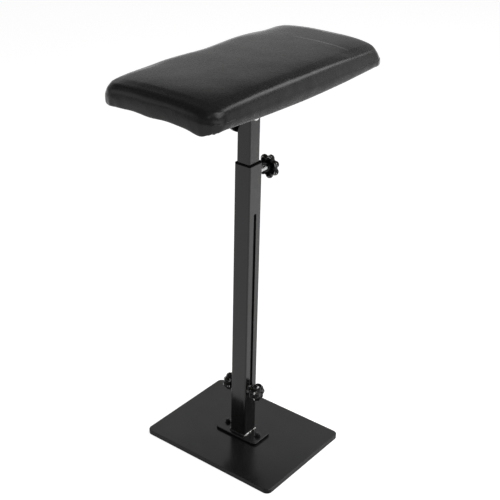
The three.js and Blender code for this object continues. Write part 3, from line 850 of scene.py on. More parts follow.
def dress(name, mesh, material, body, replaces=(), slot=None, sharp_deg=35.0):
    """Shades a mesh, gives it its finish and makes it ride on its body."""
    mesh.materials.clear()
    mesh.materials.append(material)
    mesh.shade_smooth()
    mesh.set_sharp_from_angle(angle=math.radians(sharp_deg))
    piece = show(name, mesh)
    even = piece.modifiers.new("even_normals", "WEIGHTED_NORMAL")
    even.keep_sharp = True
    if replaces:
        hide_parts(*replaces)
    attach(piece, body)
    return piece


def new_piece(name, skin, *finish, **options):
    """A finished piece from a skin, which is its points in millimetres and its faces."""
    return dress(name, skin_mesh(name, *skin, merge=True), *finish, **options)


def box_mm(node):
    low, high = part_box(node)
    return np.array(low) / MM, np.array(high) / MM


def middle_of(node):
    low, high = box_mm(node)
    return (low + high) / 2


print("the post's axis is at", middle_of("outer_tube")[:2].round(3))

# %% [markdown]
# ## Cutting holes
# Slots and bores go right through, so each is cut by a tool that is longer than the wall is thick. The exact
# Boolean leaves a closed mesh. Its result becomes a plain mesh at once, and the tools are removed.


# %% Blanks, tools and cuts
def loose_object(name, points_mm, faces):
    """A plain object for tools and blanks, not yet a piece."""
    return show(name, skin_mesh(name, points_mm, faces))


def mesh_points(mesh):
    """The corners of a mesh in millimetres."""
    flat = np.zeros(len(mesh.vertices) * 3)
    mesh.vertices.foreach_get("co", flat)
    return flat.reshape(-1, 3) / MM


def applied(piece):
    """The piece's mesh with its modifiers in it; the piece itself is removed."""
    bpy.context.view_layer.update()
    mesh = bpy.data.meshes.new_from_object(piece.evaluated_get(bpy.context.evaluated_depsgraph_get()))
    bpy.data.objects.remove(piece)
    return mesh


def cut_by(blank, tools):
    """The blank's mesh less the tools, and the tools are removed."""
    for tool in tools:
        cut = blank.modifiers.new("cut", "BOOLEAN")
        cut.operation = "DIFFERENCE"
        cut.solver = "EXACT"
        cut.object = tool
    mesh = applied(blank)
    for tool in tools:
        bpy.data.objects.remove(tool)
    return mesh


print("cutting helpers ready")

# %% [markdown]
# ## Base plate and foot plate
# A laser-cut plate has its edges eased before it is enamelled, and that small round is what catches the
# light. Each plate is a stack of rounded rectangles whose inset follows a quarter circle at the top and the
# bottom, with round holes where its bolts pass. A Bevel modifier would round top and bottom alike.

# %% Plates with eased edges
UNDER_EASE_MM = 0.6
EASE_STEPS = 5
PLATE_CORNER_STEPS = 10
DRILL_OVERRUN_MM = 5
DRILL_SIDES = 48
RIM_MOST_UPWARD = 0.35


def eased_plate(low, high, corner, ease):
    """Rounded more on top than underneath, as an enamelled plate stands on its crisp lower edge."""
    half = (high - low) / 2
    middle = (high + low) / 2
    turns = [step / EASE_STEPS * math.pi / 2 for step in range(EASE_STEPS + 1)]
    quarter = [(1 - math.sin(a), 1 - math.cos(a)) for a in turns]
    under = min(ease, UNDER_EASE_MM)
    levels = [(under * inset, low[2] + under * rise) for inset, rise in quarter]
    levels += [(ease * inset, high[2] - ease * rise) for inset, rise in reversed(quarter)]
    return ring_skin([at_height(rounded_rectangle(half[0] - inset, half[1] - inset, corner - inset,
                                                  PLATE_CORNER_STEPS) + middle[:2], height)
                      for inset, height in levels])


def round_bar(radius, low, high, y=0.0):
    turns = np.linspace(0, 2 * math.pi, DRILL_SIDES, endpoint=False)
    circle = np.column_stack([radius * np.cos(turns), y + radius * np.sin(turns)])
    return ring_skin([at_height(circle, low), at_height(circle, high)])


def bored_plate(name, node, corner, ease, bore):
    """A plate with a hole of that radius at each bolt, and on its upright rim a darker, duller enamel as
    painted shade.
    """
    low, high = box_mm(node)
    blank = loose_object(name, *eased_plate(low, high, corner, ease))
    drills = [loose_object(f"{name}_drill", *round_bar(bore, low[2] - DRILL_OVERRUN_MM,
                                                       high[2] + DRILL_OVERRUN_MM, side * bolt_y))
              for side in (-1, 1)]
    made = dress(name, cut_by(blank, drills), plate_enamel, "stand", (node,), "black_paint")
    # Upright faces take the darker copy: painted shade.
    made.data.materials.append(shaded_rim_enamel)
    for face in made.data.polygons:
        face.material_index = int(abs(face.normal.z) < RIM_MOST_UPWARD)
    return made


bolt_low, bolt_high = box_mm("foot_bolt_rear")
bolt_y = (bolt_low[1] + bolt_high[1]) / 2
print("foot bolts at", round(bolt_y, 1), "mm on either side")

# %% [markdown]
# The bolts' heads are sunk in the floor plate, so its bores clear the heads, while the foot plate's clear the
# shanks.

# %% The two plates
FLOOR_CORNER_MM = 10.0
FLOOR_EASE_MM = 1.1
FOOT_CORNER_MM = 8.0
FOOT_EASE_MM = 0.9
HEAD_CLEARANCE_MM = 0.4
SHANK_BORE_MM = 2.8
head_bore = (bolt_high[1] - bolt_low[1]) / 2 + HEAD_CLEARANCE_MM
floor_plate = bored_plate("floor_plate", "base_plate", FLOOR_CORNER_MM, FLOOR_EASE_MM, head_bore)
foot_plate = bored_plate("foot_plate", "foot_flange", FOOT_CORNER_MM, FOOT_EASE_MM, SHANK_BORE_MM)
print("plates", [(plate.name, len(plate.data.polygons)) for plate in (floor_plate, foot_plate)])

# %% [markdown]
# ## Square tube
# Drawn square tube has round corners outside and tighter ones inside. Eight rounded rectangles go up the
# outside and down the inside, and their ends join each other, so the tube is one closed wall.

# %% A wall of square tube
TUBE_CORNER_MM = 2.4
TUBE_WALL_MM = 1.5
TUBE_EASE_MM = 0.35


def square_tube(low, high, corner):
    half = (high[:2] - low[:2]) / 2
    middle = (high[:2] + low[:2]) / 2
    wall, ease = TUBE_WALL_MM, TUBE_EASE_MM
    inner_corner = max(corner - wall, wall / 2)

    def ring(inset, height, radius):
        return at_height(rounded_rectangle(half[0] - inset, half[1] - inset, radius) + middle, height)
    rings = [
        ring(ease, low[2], corner - ease), ring(0, low[2] + ease, corner),
        ring(0, high[2] - ease, corner), ring(ease, high[2], corner - ease),
        ring(wall - ease, high[2], inner_corner + ease), ring(wall, high[2] - ease, inner_corner),
        ring(wall, low[2] + ease, inner_corner), ring(wall - ease, low[2], inner_corner + ease),
    ]
    return ring_skin(rings, join_ends=True)


tube_low, tube_high = box_mm("outer_tube")
print("a wall of tube has", len(square_tube(tube_low, tube_high, TUBE_CORNER_MM)[0]), "points")

# %% [markdown]
# ## Slots and holes in the tubes
# A slot is milled with a cutter, so its ends are round. One stadium-shaped tool cuts both walls at once, and
# without a straight stretch the same tool is a round hole. Then every cut edge is eased a little with a
# Bevel, as enamel rounds it.

# %% Tools for the slots, and tubes cut by them
STADIUM_STEPS = 16
TOOL_REACH_MM = 20.0
SLOT_EASE_MM = 0.25
CUT_EDGE_DEG = 60


def stadium_along_y(width, low_z, high_z):
    """A tool with round ends that passes through the post along Y."""
    radius = width / 2
    points = []
    for first, middle in ((0, high_z), (math.pi, low_z)):
        for step in range(STADIUM_STEPS + 1):
            angle = first + step / STADIUM_STEPS * math.pi
            points.append((radius * math.cos(angle), middle + radius * math.sin(angle)))
    plan = np.array(points)
    return ring_skin([np.column_stack([plan[:, 0], np.full(len(plan), side * TOOL_REACH_MM), plan[:, 1]])
                      for side in (-1, 1)])


def eased_edges(mesh, name):
    """A small bevel on the sharp edges that the cuts left."""
    blank = show(name, mesh)
    bevel = blank.modifiers.new("ease", "BEVEL")
    bevel.width = SLOT_EASE_MM * MM
    bevel.segments = 2
    bevel.limit_method = "ANGLE"
    bevel.angle_limit = math.radians(CUT_EDGE_DEG)
    return applied(blank)


def post_tube(name, node, body, tools, bush=0.0):
    """A tube with its slots and holes, left short at the top by the height of its bush."""
    low, high = box_mm(node)
    high[2] -= bush
    blank = loose_object(name, *square_tube(low, high, TUBE_CORNER_MM))
    mesh = eased_edges(cut_by(blank, tools), name)
    return dress(name, mesh, post_enamel, body, (node,), "black_paint")


print("tools reach", TOOL_REACH_MM, "mm to either side")

# %% [markdown]
# ## The outer tube and its bush
# The slot bolt moves with the inner tube, so the outer tube's slots run from the bolt's lowest place to its
# highest, which is the height joint's travel. The clamp screw needs one hole in the +X wall. The tube stops
# just below its mouth, where a bush of dull plastic closes it.

# %% Outer tube
SLOT_WIDTH_MM = 6.5
CLAMP_HOLE_RADIUS_MM = 4.4
BUSH_HEIGHT_MM = 2.3
BUSH_CORNER_MM = 2.2
slot_low_z = middle_of("slot_bolt")[2]
slot_travel = next(joint["range_m"][1] for joint in frame["joints"] if joint["name"] == "height_slide") / MM
slot_high_z = slot_low_z + slot_travel
clamp_z = middle_of("clamp_screw")[2]
outer_slot = loose_object("outer_slot_tool", *stadium_along_y(SLOT_WIDTH_MM, slot_low_z, slot_high_z))
clamp_hole = loose_object("clamp_hole_tool", *round_bar(CLAMP_HOLE_RADIUS_MM, 0, TOOL_REACH_MM))
clamp_hole.data.transform(Matrix.Translation((0, 0, clamp_z * MM)) @ Matrix.Rotation(math.pi / 2, 4, "Y"))
post_tube("outer_post", "outer_tube", "stand", [outer_slot, clamp_hole], BUSH_HEIGHT_MM)
bush_low = np.array([*tube_low[:2], tube_high[2] - BUSH_HEIGHT_MM])
# The bush's black, with next to no gloss, paints the shade in the gap at the tube's mouth.
new_piece("tube_bush", square_tube(bush_low, tube_high, BUSH_CORNER_MM), bush_painted_shade, "stand",
          slot="knob_plastic")
print("slot from", round(slot_low_z, 1), "to", round(slot_high_z, 1), "mm")

# %% [markdown]
# ## The inner tube
# Two bolts go through the inner tube, so it has two round holes in each of its -Y and +Y walls.

# %% Inner tube
PIVOT_HOLE_MM = 8.6
pivot_z = middle_of("pivot_bolt")[2]
bolt_holes = [
    loose_object("slot_bolt_tool", *stadium_along_y(SLOT_WIDTH_MM, slot_low_z, slot_low_z)),
    loose_object("pivot_bolt_tool", *stadium_along_y(PIVOT_HOLE_MM, pivot_z, pivot_z)),
]
post_tube("inner_post", "inner_tube", "post", bolt_holes)
print("pivot hole at", round(pivot_z, 1), "mm")

# %% [markdown]
# ## What walks along a path
# The weld's ripples and the hem's staples both repeat along a closed line, which Geometry Nodes can walk.
# These helpers make the line's steps, a random number from a fixed seed, and the two nodes that such a group
# ends in, because only real geometry with its material set survives outside this file.


# %% Steps along a line, random numbers and the end of a group
def outline_path(name, outline, height_mm):
    """A closed line of edges for Geometry Nodes to walk along."""
    points = at_height(outline, height_mm) * MM
    mesh = bpy.data.meshes.new(name)
    count = len(points)
    mesh.from_pydata([tuple(p) for p in points], [(i, (i + 1) % count) for i in range(count)], [])
    return show(name, mesh)


def steps_along(group):
    path = add(group, "GeometryNodeMeshToCurve", Mesh=entry(group, "Geometry"))
    return add(group, "GeometryNodeResampleCurve", {"mode": "LENGTH"}, Curve=path,
               Length=entry(group, "Step"))


def facing_along(group, axis):
    """A rotation that lays an axis along the line."""
    tangent = add(group, "GeometryNodeInputTangent")
    return add(group, "FunctionNodeAlignRotationToVector", {"axis": axis}, Vector=tangent).outputs[0]


def random_number(group, low, high):
    made = add(group, "FunctionNodeRandomValue", {"data_type": "FLOAT"}, Seed=entry(group, "Seed"))
    made.inputs[2].default_value = low
    made.inputs[3].default_value = high
    return made.outputs[1]


def leave_real(group, copies):
    real = add(group, "GeometryNodeRealizeInstances", Geometry=copies)
    leave(group, add(group, "GeometryNodeSetMaterial", Geometry=real, Material=entry(group, "Finish")))


print("path helpers ready")

# %% [markdown]
# ## The weld at the foot
# A weld bead is a row of overlapping ripples. Geometry Nodes walk round the foot of the post and set a flat
# ball at each step, turned to face along the path and a little uneven in size. A remesh then fuses them into
# one skin, which a plain row of balls would not be.

# %% Weld bead along the foot of the post
WELD_STEP_MM = 1.5
WELD_RADIUS_MM = 1.7
WELD_OUT_MM = 0.7
WELD_FLATNESS = (1.0, 1.0, 0.55)
WELD_SIZES = (0.86, 1.08)
WELD_VOXEL_MM = 0.35
WELD_SEED = 7


def bead_group():
    group = group_with("weld_ripples", ("Step", "NodeSocketFloat", WELD_STEP_MM * MM),
                       ("Bead Radius", "NodeSocketFloat", WELD_RADIUS_MM * MM),
                       ("Seed", "NodeSocketInt", WELD_SEED), ("Finish", "NodeSocketMaterial", None))
    ball = add(group, "GeometryNodeMeshIcoSphere", Radius=entry(group, "Bead Radius"), Subdivisions=3)
    flat = add(group, "GeometryNodeTransform", Geometry=ball, Scale=WELD_FLATNESS)
    leave_real(group, add(group, "GeometryNodeInstanceOnPoints", Points=steps_along(group), Instance=flat,
                          Rotation=facing_along(group, "Z"), Scale=random_number(group, *WELD_SIZES)))
    return group


weld_half = (tube_high[0] - tube_low[0]) / 2 + WELD_OUT_MM
foot_top = box_mm("foot_flange")[1][2]
weld_path = outline_path("weld_path", rounded_rectangle(weld_half, weld_half, TUBE_CORNER_MM + WELD_OUT_MM),
                         foot_top + WELD_OUT_MM)
run_group(weld_path, bead_group(), {"Finish": weld_metal})
fused = weld_path.modifiers.new("fused", "REMESH")
fused.mode = "VOXEL"
fused.voxel_size = WELD_VOXEL_MM * MM
weld_bead = dress("weld_bead", applied(weld_path), weld_metal, "stand", ("foot_weld",), "weld",
                  sharp_deg=80.0)
print("weld faces", len(weld_bead.data.polygons))

# %% [markdown]
# ## Star knobs
# A moulded star knob is a circle whose radius dips into seven notches. It could be cut from a disc with seven
# round tools, but then the wall of its hollow back would not follow. Here one rule gives every ring: the
# notch depth times a power of a cosine.

# %% Sizes of the knobs, and a lobed ring
LOBES = 7
POINTS_A_LOBE = 24
NOTCH_SHARPNESS = 1.6
SMALL_KNOB = {"radius": 15.2, "notch": 3.3, "rim": 13.2, "dome": 2.9, "dish": 0.7, "hub": 6.0,
              "hub_rise": 3.4, "wall": 1.8, "bulge": 1.7, "bore": 5.15, "bore_depth": 10.6}
LARGE_KNOB = {"radius": 20.0, "notch": 4.4, "rim": 9.5, "dome": 2.3, "dish": 0.8, "hub": 7.5,
              "hub_rise": 3.0, "wall": 1.8, "bulge": 1.9, "bore": 4.25, "bore_depth": 8.3}
PIVOT_KNOB = dict(LARGE_KNOB, bore=6.15, bore_depth=8.6)


def lobed_ring(radius, notch, height):
    turns = np.linspace(0, 2 * math.pi, LOBES * POINTS_A_LOBE, endpoint=False)
    dip = ((1 - np.cos(LOBES * turns)) / 2) ** NOTCH_SHARPNESS
    reach = radius - notch * dip
    return np.column_stack([reach * np.cos(turns), reach * np.sin(turns), np.full(len(turns), height)])


print("knobs across in mm", SMALL_KNOB["radius"] * 2, LARGE_KNOB["radius"] * 2)

# %% [markdown]
# ## The back of a knob
# The knob's skin runs from the bottom of the blind bore, out over the hub and up into the hollow back, round
# the barrel-shaped rim, over the low dome of the face and down into a shallow dish in its middle. The back
# is hollow because thick plastic sinks as it cools. A Solidify modifier could make its wall, but not the hub
# and the bore in the same skin, so their rings are listed one by one.

# %% Bore, hub and hollow back
FACE_MM = 1.2
HUB_CHAMFER_MM = 0.3
BACK_ROUND_MM = 0.4
HUB_DRAFT_MM = 0.5
FILLET_MM = 0.8
BARREL_TIP_MM = 0.9


def barrel_end(size):
    """The rim's radius where it turns into the back or the face."""
    return size["radius"] - size["bulge"] - BARREL_TIP_MM


def back_rings(size):
    """Out of the bore, over the hub and down and up the wall of the hollow back."""
    bore, hub, notch, back = size["bore"], size["hub"], size["notch"], size["hub_rise"]
    ceiling = back + size["rim"] - size["wall"] - FACE_MM
    inside = barrel_end(size) - size["wall"]
    hub_side = hub + HUB_DRAFT_MM
    return [
        lobed_ring(bore, 0, size["bore_depth"]), lobed_ring(bore, 0, HUB_CHAMFER_MM),
        lobed_ring(bore + HUB_CHAMFER_MM, 0, 0), lobed_ring(hub - BACK_ROUND_MM, 0, 0),
        lobed_ring(hub, 0, BACK_ROUND_MM), lobed_ring(hub_side, 0, ceiling - FILLET_MM),
        lobed_ring(hub_side + FILLET_MM, 0, ceiling), lobed_ring(inside - FILLET_MM, notch, ceiling),
        lobed_ring(inside, notch, ceiling - FILLET_MM), lobed_ring(inside, notch, back + BACK_ROUND_MM),
        lobed_ring(inside + BACK_ROUND_MM, notch, back),
    ]


print("rings of the back", len(back_rings(SMALL_KNOB)))

# %% [markdown]
# ## The rim and the face of a knob
# A straight rim would mirror one flat band. The real one is fullest half-way up, so its radius falls with the
# square of the way from there, and close to its ends with the eighth power, which rounds them. The face is a
# low dome, and its notches fade towards the middle.

# %% Rim, face and the whole skin
BARREL_STEPS = 14
BULGE_POWER = 2
TIP_POWER = 8
FACE_SHARES = (0.96, 0.90, 0.80, 0.68, 0.55, 0.44)
FACE_NOTCH_POWER = 1.5
# Shares of the face's radius, of the notch and of the dish's depth
DISH_SHARES = ((0.40, 0.12, 0.0), (0.36, 0.0, 0.5), (0.32, 0.0, 1.0), (0.12, 0.0, 1.0))


def rim_rings(size):
    """Round the barrel of the rim, which is fullest half-way up."""
    half = size["rim"] / 2
    middle = size["hub_rise"] + half
    rings = []
    for step in range(BARREL_STEPS + 1):
        share = -math.cos(step / BARREL_STEPS * math.pi)
        drawn_in = size["bulge"] * share ** BULGE_POWER + BARREL_TIP_MM * share ** TIP_POWER
        rings.append(lobed_ring(size["radius"] - drawn_in, size["notch"], middle + half * share))
    return rings


def face_rings(size):
    """Over the dome and into the dish."""
    front, inner = size["hub_rise"] + size["rim"], barrel_end(size)

    def dome(share):
        return front + size["dome"] * math.sqrt(1 - share ** 2)
    rings = [lobed_ring(inner * share, size["notch"] * share ** FACE_NOTCH_POWER, dome(share))
             for share in FACE_SHARES]
    dish_top = dome(FACE_SHARES[-1])
    return rings + [lobed_ring(inner * share, size["notch"] * notch, dish_top - size["dish"] * depth)
                    for share, notch, depth in DISH_SHARES]


def knob_skin(size):
    return ring_skin(back_rings(size) + rim_rings(size) + face_rings(size))


print("a knob's skin has", len(knob_skin(SMALL_KNOB)[0]), "points")

# %% [markdown]
# ## Painted glints and wear on a knob
# Pale spots on the crowns of the lobes and pale lines along the edges of rim and back are painted glints,
# which also pass for wear. The knob's finish reads them from an attribute on its corners, worked out from
# their height along the knob's axis and their distance from it. In the hollow back, where nothing rubs, the
# attribute is -1.

# %% Painted glints and wear on a knob's edges
CROWN_DEPTH_MM = 0.9
CROWN_GLINT_AND_WEAR = 2.6
CROWN_HEIGHT_MM = 1.4
CROWN_ABOVE_BACK_MM = 1.2
CROWN_BELOW_FRONT_MM = 1.6
FRONT_EDGE_MM = 0.6
FRONT_REACH_MM = 1.3
FRONT_EDGE_GLINT_AND_WEAR = 0.6
BACK_REACH_MM = 0.7
HUB_MARGIN_MM = 2.0
HOLLOW_FROM_MM = 0.2
MOST_FORWARD = 0.3
CLEARLY_BACKWARD = -0.5
CLEARLY_INWARD = -0.3
# Keeps a division by a length of nothing from failing
TINY = 0.001


def bell(off, reach):
    return np.exp(-(off / reach) ** 2)


def wear_and_glint(height, reach, size, back_glint_and_wear):
    """How pale each corner is painted, for wear and for glints, from its height over the hub's seat and its
    distance from the axis.
    """
    back, front = size["hub_rise"], size["hub_rise"] + size["rim"]
    near_front = bell(height - front + FRONT_EDGE_MM, FRONT_REACH_MM)
    near_back = bell(height - back, BACK_REACH_MM)
    off_hub = np.clip((reach - size["hub"] - HUB_MARGIN_MM) / HUB_MARGIN_MM, 0, 1)
    pale_glint_and_wear = np.maximum(near_front * FRONT_EDGE_GLINT_AND_WEAR, near_back * back_glint_and_wear) * off_hub
    crown_share = bell(size["radius"] - BARREL_TIP_MM - reach, CROWN_DEPTH_MM)
    for crown_height in (back + CROWN_ABOVE_BACK_MM, front - CROWN_BELOW_FRONT_MM):
        spot = crown_share * CROWN_GLINT_AND_WEAR * bell(height - crown_height, CROWN_HEIGHT_MM)
        pale_glint_and_wear = np.maximum(pale_glint_and_wear, spot)
    return np.maximum(pale_glint_and_wear, bell(barrel_end(size) - reach, CROWN_DEPTH_MM) * near_back * CROWN_GLINT_AND_WEAR)


def in_hollow(height, reach, spots, line, normals, size):
    """Whether each corner lies on the inner faces of the hollow back."""
    radial = (spots - np.outer(height, line)) / np.maximum(reach, TINY)[:, None]
    forward, outward = normals @ line, (normals * radial).sum(1)
    sunk = (height > size["hub_rise"] + HOLLOW_FROM_MM) & (forward < MOST_FORWARD)
    return sunk & ((forward < CLEARLY_BACKWARD) | (outward < CLEARLY_INWARD))


def mark_wear_and_glints(piece, line, origin, size, back_glint_and_wear):
    """Writes the attribute that the knob's finish reads."""
    spots = mesh_points(piece.data) - origin
    height = spots @ line
    reach = np.linalg.norm(spots - np.outer(height, line), axis=1)
    normals = np.zeros(len(spots) * 3)
    piece.data.vertex_normals.foreach_get("vector", normals)
    edge = wear_and_glint(height, reach, size, back_glint_and_wear)
    edge[in_hollow(height, reach, spots, line, normals.reshape(-1, 3), size)] = -1
    piece.data.attributes.new("edge", "FLOAT", "POINT").data.foreach_set("value", edge.astype("f"))


print("wear fades over", CROWN_DEPTH_MM, "mm")

# %% [markdown]
# ## Four knobs
# Each knob is made along +Z and then laid along its bolt, with the seat of its hub where the packed solid has
# it. All clamp by hand, so they rest at different turns.

# %% Lay each knob on its bolt
REAR_TURN_DEG = 12.0
CLAMP_TURN_DEG = 41.0
# How pale the back edge is painted; on the front knob it is a painted highlight arc along the back rim.
BACK_EDGE_GLINT_AND_WEAR = 0.5
FRONT_KNOB_BACK_GLINT = 2.4


def along_axis(skin, axis, origin, turn_deg=0.0):
    """A skin made along +Z, turned about Z, laid along an axis and moved to its place."""
    points, faces = skin
    laid = Vector((0, 0, 1)).rotation_difference(Vector(axis)).to_matrix()
    turn = Matrix.Rotation(math.radians(turn_deg), 3, "Z")
    return np.asarray(points) @ np.array(laid @ turn).T + np.asarray(origin), faces


def star_knob(name, node, body, bolt, size, axis, turn_deg=0.0, back_glint_and_wear=BACK_EDGE_GLINT_AND_WEAR):
    """A knob on its bolt's axis, with its hub's seat at the end that the axis points away from."""
    low, high = box_mm(node)
    line = np.array(axis, float)
    seat = np.where(line > 0, low, high)
    origin = middle_of(bolt) * (1 - abs(line)) + seat * abs(line)
    piece = new_piece(name, along_axis(knob_skin(size), axis, origin, turn_deg), knob_plastic, body, (node,),
                      "knob_plastic", sharp_deg=40.0)
    mark_wear_and_glints(piece, line, origin, size, back_glint_and_wear)


star_knob("front_star_knob", "front_slot_knob", "front_knob", "slot_bolt", SMALL_KNOB, (0, -1, 0),
          back_glint_and_wear=FRONT_KNOB_BACK_GLINT)
star_knob("rear_star_knob", "rear_slot_knob", "rear_knob", "slot_bolt", SMALL_KNOB, (0, 1, 0), REAR_TURN_DEG)
star_knob("clamp_star_knob", "clamp_knob", "clamp", "clamp_screw", LARGE_KNOB, (1, 0, 0), CLAMP_TURN_DEG)
star_knob("tilt_star_knob", "tilt_knob", "tilt_clamp", "pivot_bolt", PIVOT_KNOB, (0, 1, 0))

# %% [markdown]
# ## The clamp screw's thread
# A thread is a cylinder whose radius depends on how far a point is along and round it. A helix could be cut
# into a rod, which is slow and seldom clean. Sampling the rule on a fine grid gives one closed skin.

# %% Threaded rod
SCREW_RADIUS_MM = 4.0
THREAD_PITCH_MM = 1.25
THREAD_DEPTH_MM = 0.65
GROOVE_SHARPNESS = 2.6
POINT_TAPER_MM = 0.8
POINT_LENGTH_MM = 1.0
PLAIN_POINT_MM = 0.5
PLAIN_SHANK_MM = 8.0
SAMPLES_A_TURN = 8
SCREW_SIDES = 32


def threaded_rod(radius, length):
    """Plain for a stretch at both ends, threaded between."""
    turns = np.linspace(0, 2 * math.pi, SCREW_SIDES, endpoint=False)
    rings = []
    for height in np.append(np.arange(0, length, THREAD_PITCH_MM / SAMPLES_A_TURN), length):
        phase = (height / THREAD_PITCH_MM - turns / (2 * math.pi)) % 1
        groove = np.clip(1 - np.abs(phase - 0.5) * GROOVE_SHARPNESS, 0, 1)
        fade = np.clip(min(height - PLAIN_POINT_MM, length - PLAIN_SHANK_MM - height), 0, 1)
        point = np.clip(1 - height / POINT_LENGTH_MM, 0, 1)
        reach = radius - THREAD_DEPTH_MM * groove * fade - POINT_TAPER_MM * point
        rings.append(at_height(np.column_stack([reach * np.cos(turns), reach * np.sin(turns)]), height))
    return ring_skin(rings)


screw_low, screw_high = box_mm("clamp_screw")
screw_length = screw_high[0] - screw_low[0]
screw = along_axis(threaded_rod(SCREW_RADIUS_MM, screw_length), (1, 0, 0), (screw_low[0], 0, clamp_z))
new_piece("clamp_thread", screw, zinc, "clamp", ("clamp_screw",), "zinc", sharp_deg=60.0)
print("screw", round(screw_length, 1), "mm long")

# %% [markdown]
# ## The padded top
# Leathercloth is pulled over foam and stapled under the board. A sculpted block could pass for it from one
# side, but the real cover is one sheet. So the pad is built as that sheet: a patch for the top, then rings
# down the side, round the lower edge and under the board as the hem.

# %% Sizes of the pad
LEATHER_MM = 1.2
HEM_GAP_MM = 0.3
PAD_CORNER_MM = 30.0
PAD_BOW_MM = 2.0
EDGE_ROUND_MM = 12.5
SHOULDER_INSET_MM = 0.6
HEM_MM = 34.0
cover_low, cover_high = box_mm("leather_cover")
board_low, board_high = box_mm("pad_board")
PAD_HALF_X = (cover_high[0] - cover_low[0]) / 2
PAD_HALF_Y = (cover_high[1] - cover_low[1]) / 2
PAD_TOP = cover_high[2]
PAD_UNDER = board_low[2] - HEM_GAP_MM - LEATHER_MM
FOAM_FOOT = board_high[2] + HEM_GAP_MM
print("pad", round(PAD_HALF_X * 2), "by", round(PAD_HALF_Y * 2), "mm, top at", round(PAD_TOP, 1))

# %% [markdown]
# ## The crown of the top
# The foam is cut flat, and the cover draws it down towards every edge, most at the near end. So the top's
# height falls with the square of the place and, close to the edges, with its eighth power, or its fourteenth
# along the far side, whose shoulder is tighter. Shallow hollows are where this hand-made pad is less full.

# %% Height of the top
ACROSS_FALL_MM = 6.0
NEAR_SIDE_ROLL_MM = 5.5
FAR_SIDE_ROLL_MM = 3.4
FAR_SIDE_POWER = 14
EDGE_POWER = 8
# Each end's fall, first with the square and then with the eighth power
NEAR_END_FALL_MM = (1.6, 4.6)
FAR_END_FALL_MM = (1.9, 1.2)
RIGHT_FALL_MM = 6.0
CORNER_DROP_MM = 3.0
# Middle in x and y, reach in x and y, and depth
HOLLOWS_MM = ((12, 104, 50, 20, 3.2), (160, 98, 32, 26, 2.4), (-39, -103, 11, 9, 0.8),
              (-60, 20, 90, 50, 0.5))


def crown(plan):
    """Height of the padded top at plan points."""
    x, y = plan[..., 0], plan[..., 1]
    along, across = np.abs(x) / PAD_HALF_X, np.abs(y) / PAD_HALF_Y
    near = np.clip(0.5 - x / PAD_HALF_X * 2.0, 0, 1)
    square, steep = (near * at_near + (1 - near) * at_far
                     for at_near, at_far in zip(NEAR_END_FALL_MM, FAR_END_FALL_MM))
    height = PAD_TOP - square * along ** 2 - steep * along ** EDGE_POWER
    near_roll = NEAR_SIDE_ROLL_MM * across ** EDGE_POWER
    far_roll = FAR_SIDE_ROLL_MM * across ** FAR_SIDE_POWER
    height = height - ACROSS_FALL_MM * across ** 2 - np.where(y < 0, near_roll, far_roll)
    right = np.where(y < 0, np.clip(x / PAD_HALF_X, 0, 1), 0)
    height = height - RIGHT_FALL_MM * right ** 2 * across ** 4
    height = height - CORNER_DROP_MM * (along * across) ** 4
    for hollow_x, hollow_y, reach_x, reach_y, depth in HOLLOWS_MM:
        height = height - depth * np.exp(-((x - hollow_x) / reach_x) ** 2 - ((y - hollow_y) / reach_y) ** 2)
    return height


print("crown at the middle", round(float(crown(np.zeros(2))), 1), "mm")

# %% [markdown]
# ## The pad's plan
# The plan is a rectangle with round corners whose sides bow out a little, because the foam pushes where
# nothing but the cloth holds it. Each side runs from the middle of one corner to the middle of the next, so
# that four joined sides can be filled with an even grid.

# %% Outlines at any inset
CORNER_CELLS = 8
LONG_CELLS = 64
SHORT_CELLS = 30


def corner_arc(centre, radius, first):
    """Half a round corner."""
    turns = [first + step / CORNER_CELLS * math.pi / 4 for step in range(CORNER_CELLS + 1)]
    return [centre + radius * Vector((math.cos(turn), math.sin(turn))) for turn in turns]


def pad_outline(inset):
    """Four sides of the plan, each from the middle of one corner to the middle of the next."""
    half = Vector((PAD_HALF_X - PAD_BOW_MM - inset, PAD_HALF_Y - PAD_BOW_MM - inset))
    radius = max(PAD_CORNER_MM - inset, EDGE_ROUND_MM / 2)
    corners = [Vector((x * (half.x - radius), y * (half.y - radius)))
               for x, y in ((-1, -1), (1, -1), (1, 1), (-1, 1))]
    sides = []
    for index, cells in enumerate((LONG_CELLS, SHORT_CELLS, LONG_CELLS, SHORT_CELLS)):
        start = (index * 2 - 3) * math.pi / 4
        opening = corner_arc(corners[index], radius, start)
        closing = corner_arc(corners[(index + 1) % 4], radius, start + math.pi / 4)
        straight = [opening[-1].lerp(closing[0], step / cells) for step in range(1, cells)]
        side = np.array([tuple(p) for p in opening + straight + closing])
        bow_x = PAD_BOW_MM * side[:, 0] / half.x * np.cos(math.pi / 2 * side[:, 1] / half.y)
        bow_y = PAD_BOW_MM * side[:, 1] / half.y * np.cos(math.pi / 2 * side[:, 0] / half.x)
        sides.append(side + np.column_stack([bow_x, bow_y]))
    return sides


def whole_ring(sides):
    return np.concatenate([side[:-1] for side in sides])


print("points round the pad", len(whole_ring(pad_outline(0))))

# %% [markdown]
# ## The pad's section
# From the edge of the top the cover turns over the shoulder in a quarter circle, goes down the side, round
# the board's lower edge and back under it. Each step of that way is one ring, with its inset from the outline
# and a height that depends on where it is.

# %% Rings down the side and under the board
SHOULDER_STEPS = 7
HEM_SECTION_MM = ((0.2, 8.5), (0.6, 4.0), (1.3, 1.6), (3.0, 0.3), (6.0, 0.0), (10.0, 0.0), (15.0, 0.0),
                  (21.0, 0.0), (27.5, 0.0), (HEM_MM, 0.0))


def edge_round(plan):
    """The shoulder's height, less where the crown leaves no room for a whole quarter circle."""
    return np.minimum(EDGE_ROUND_MM, crown(plan) - FOAM_FOOT - HEM_GAP_MM)


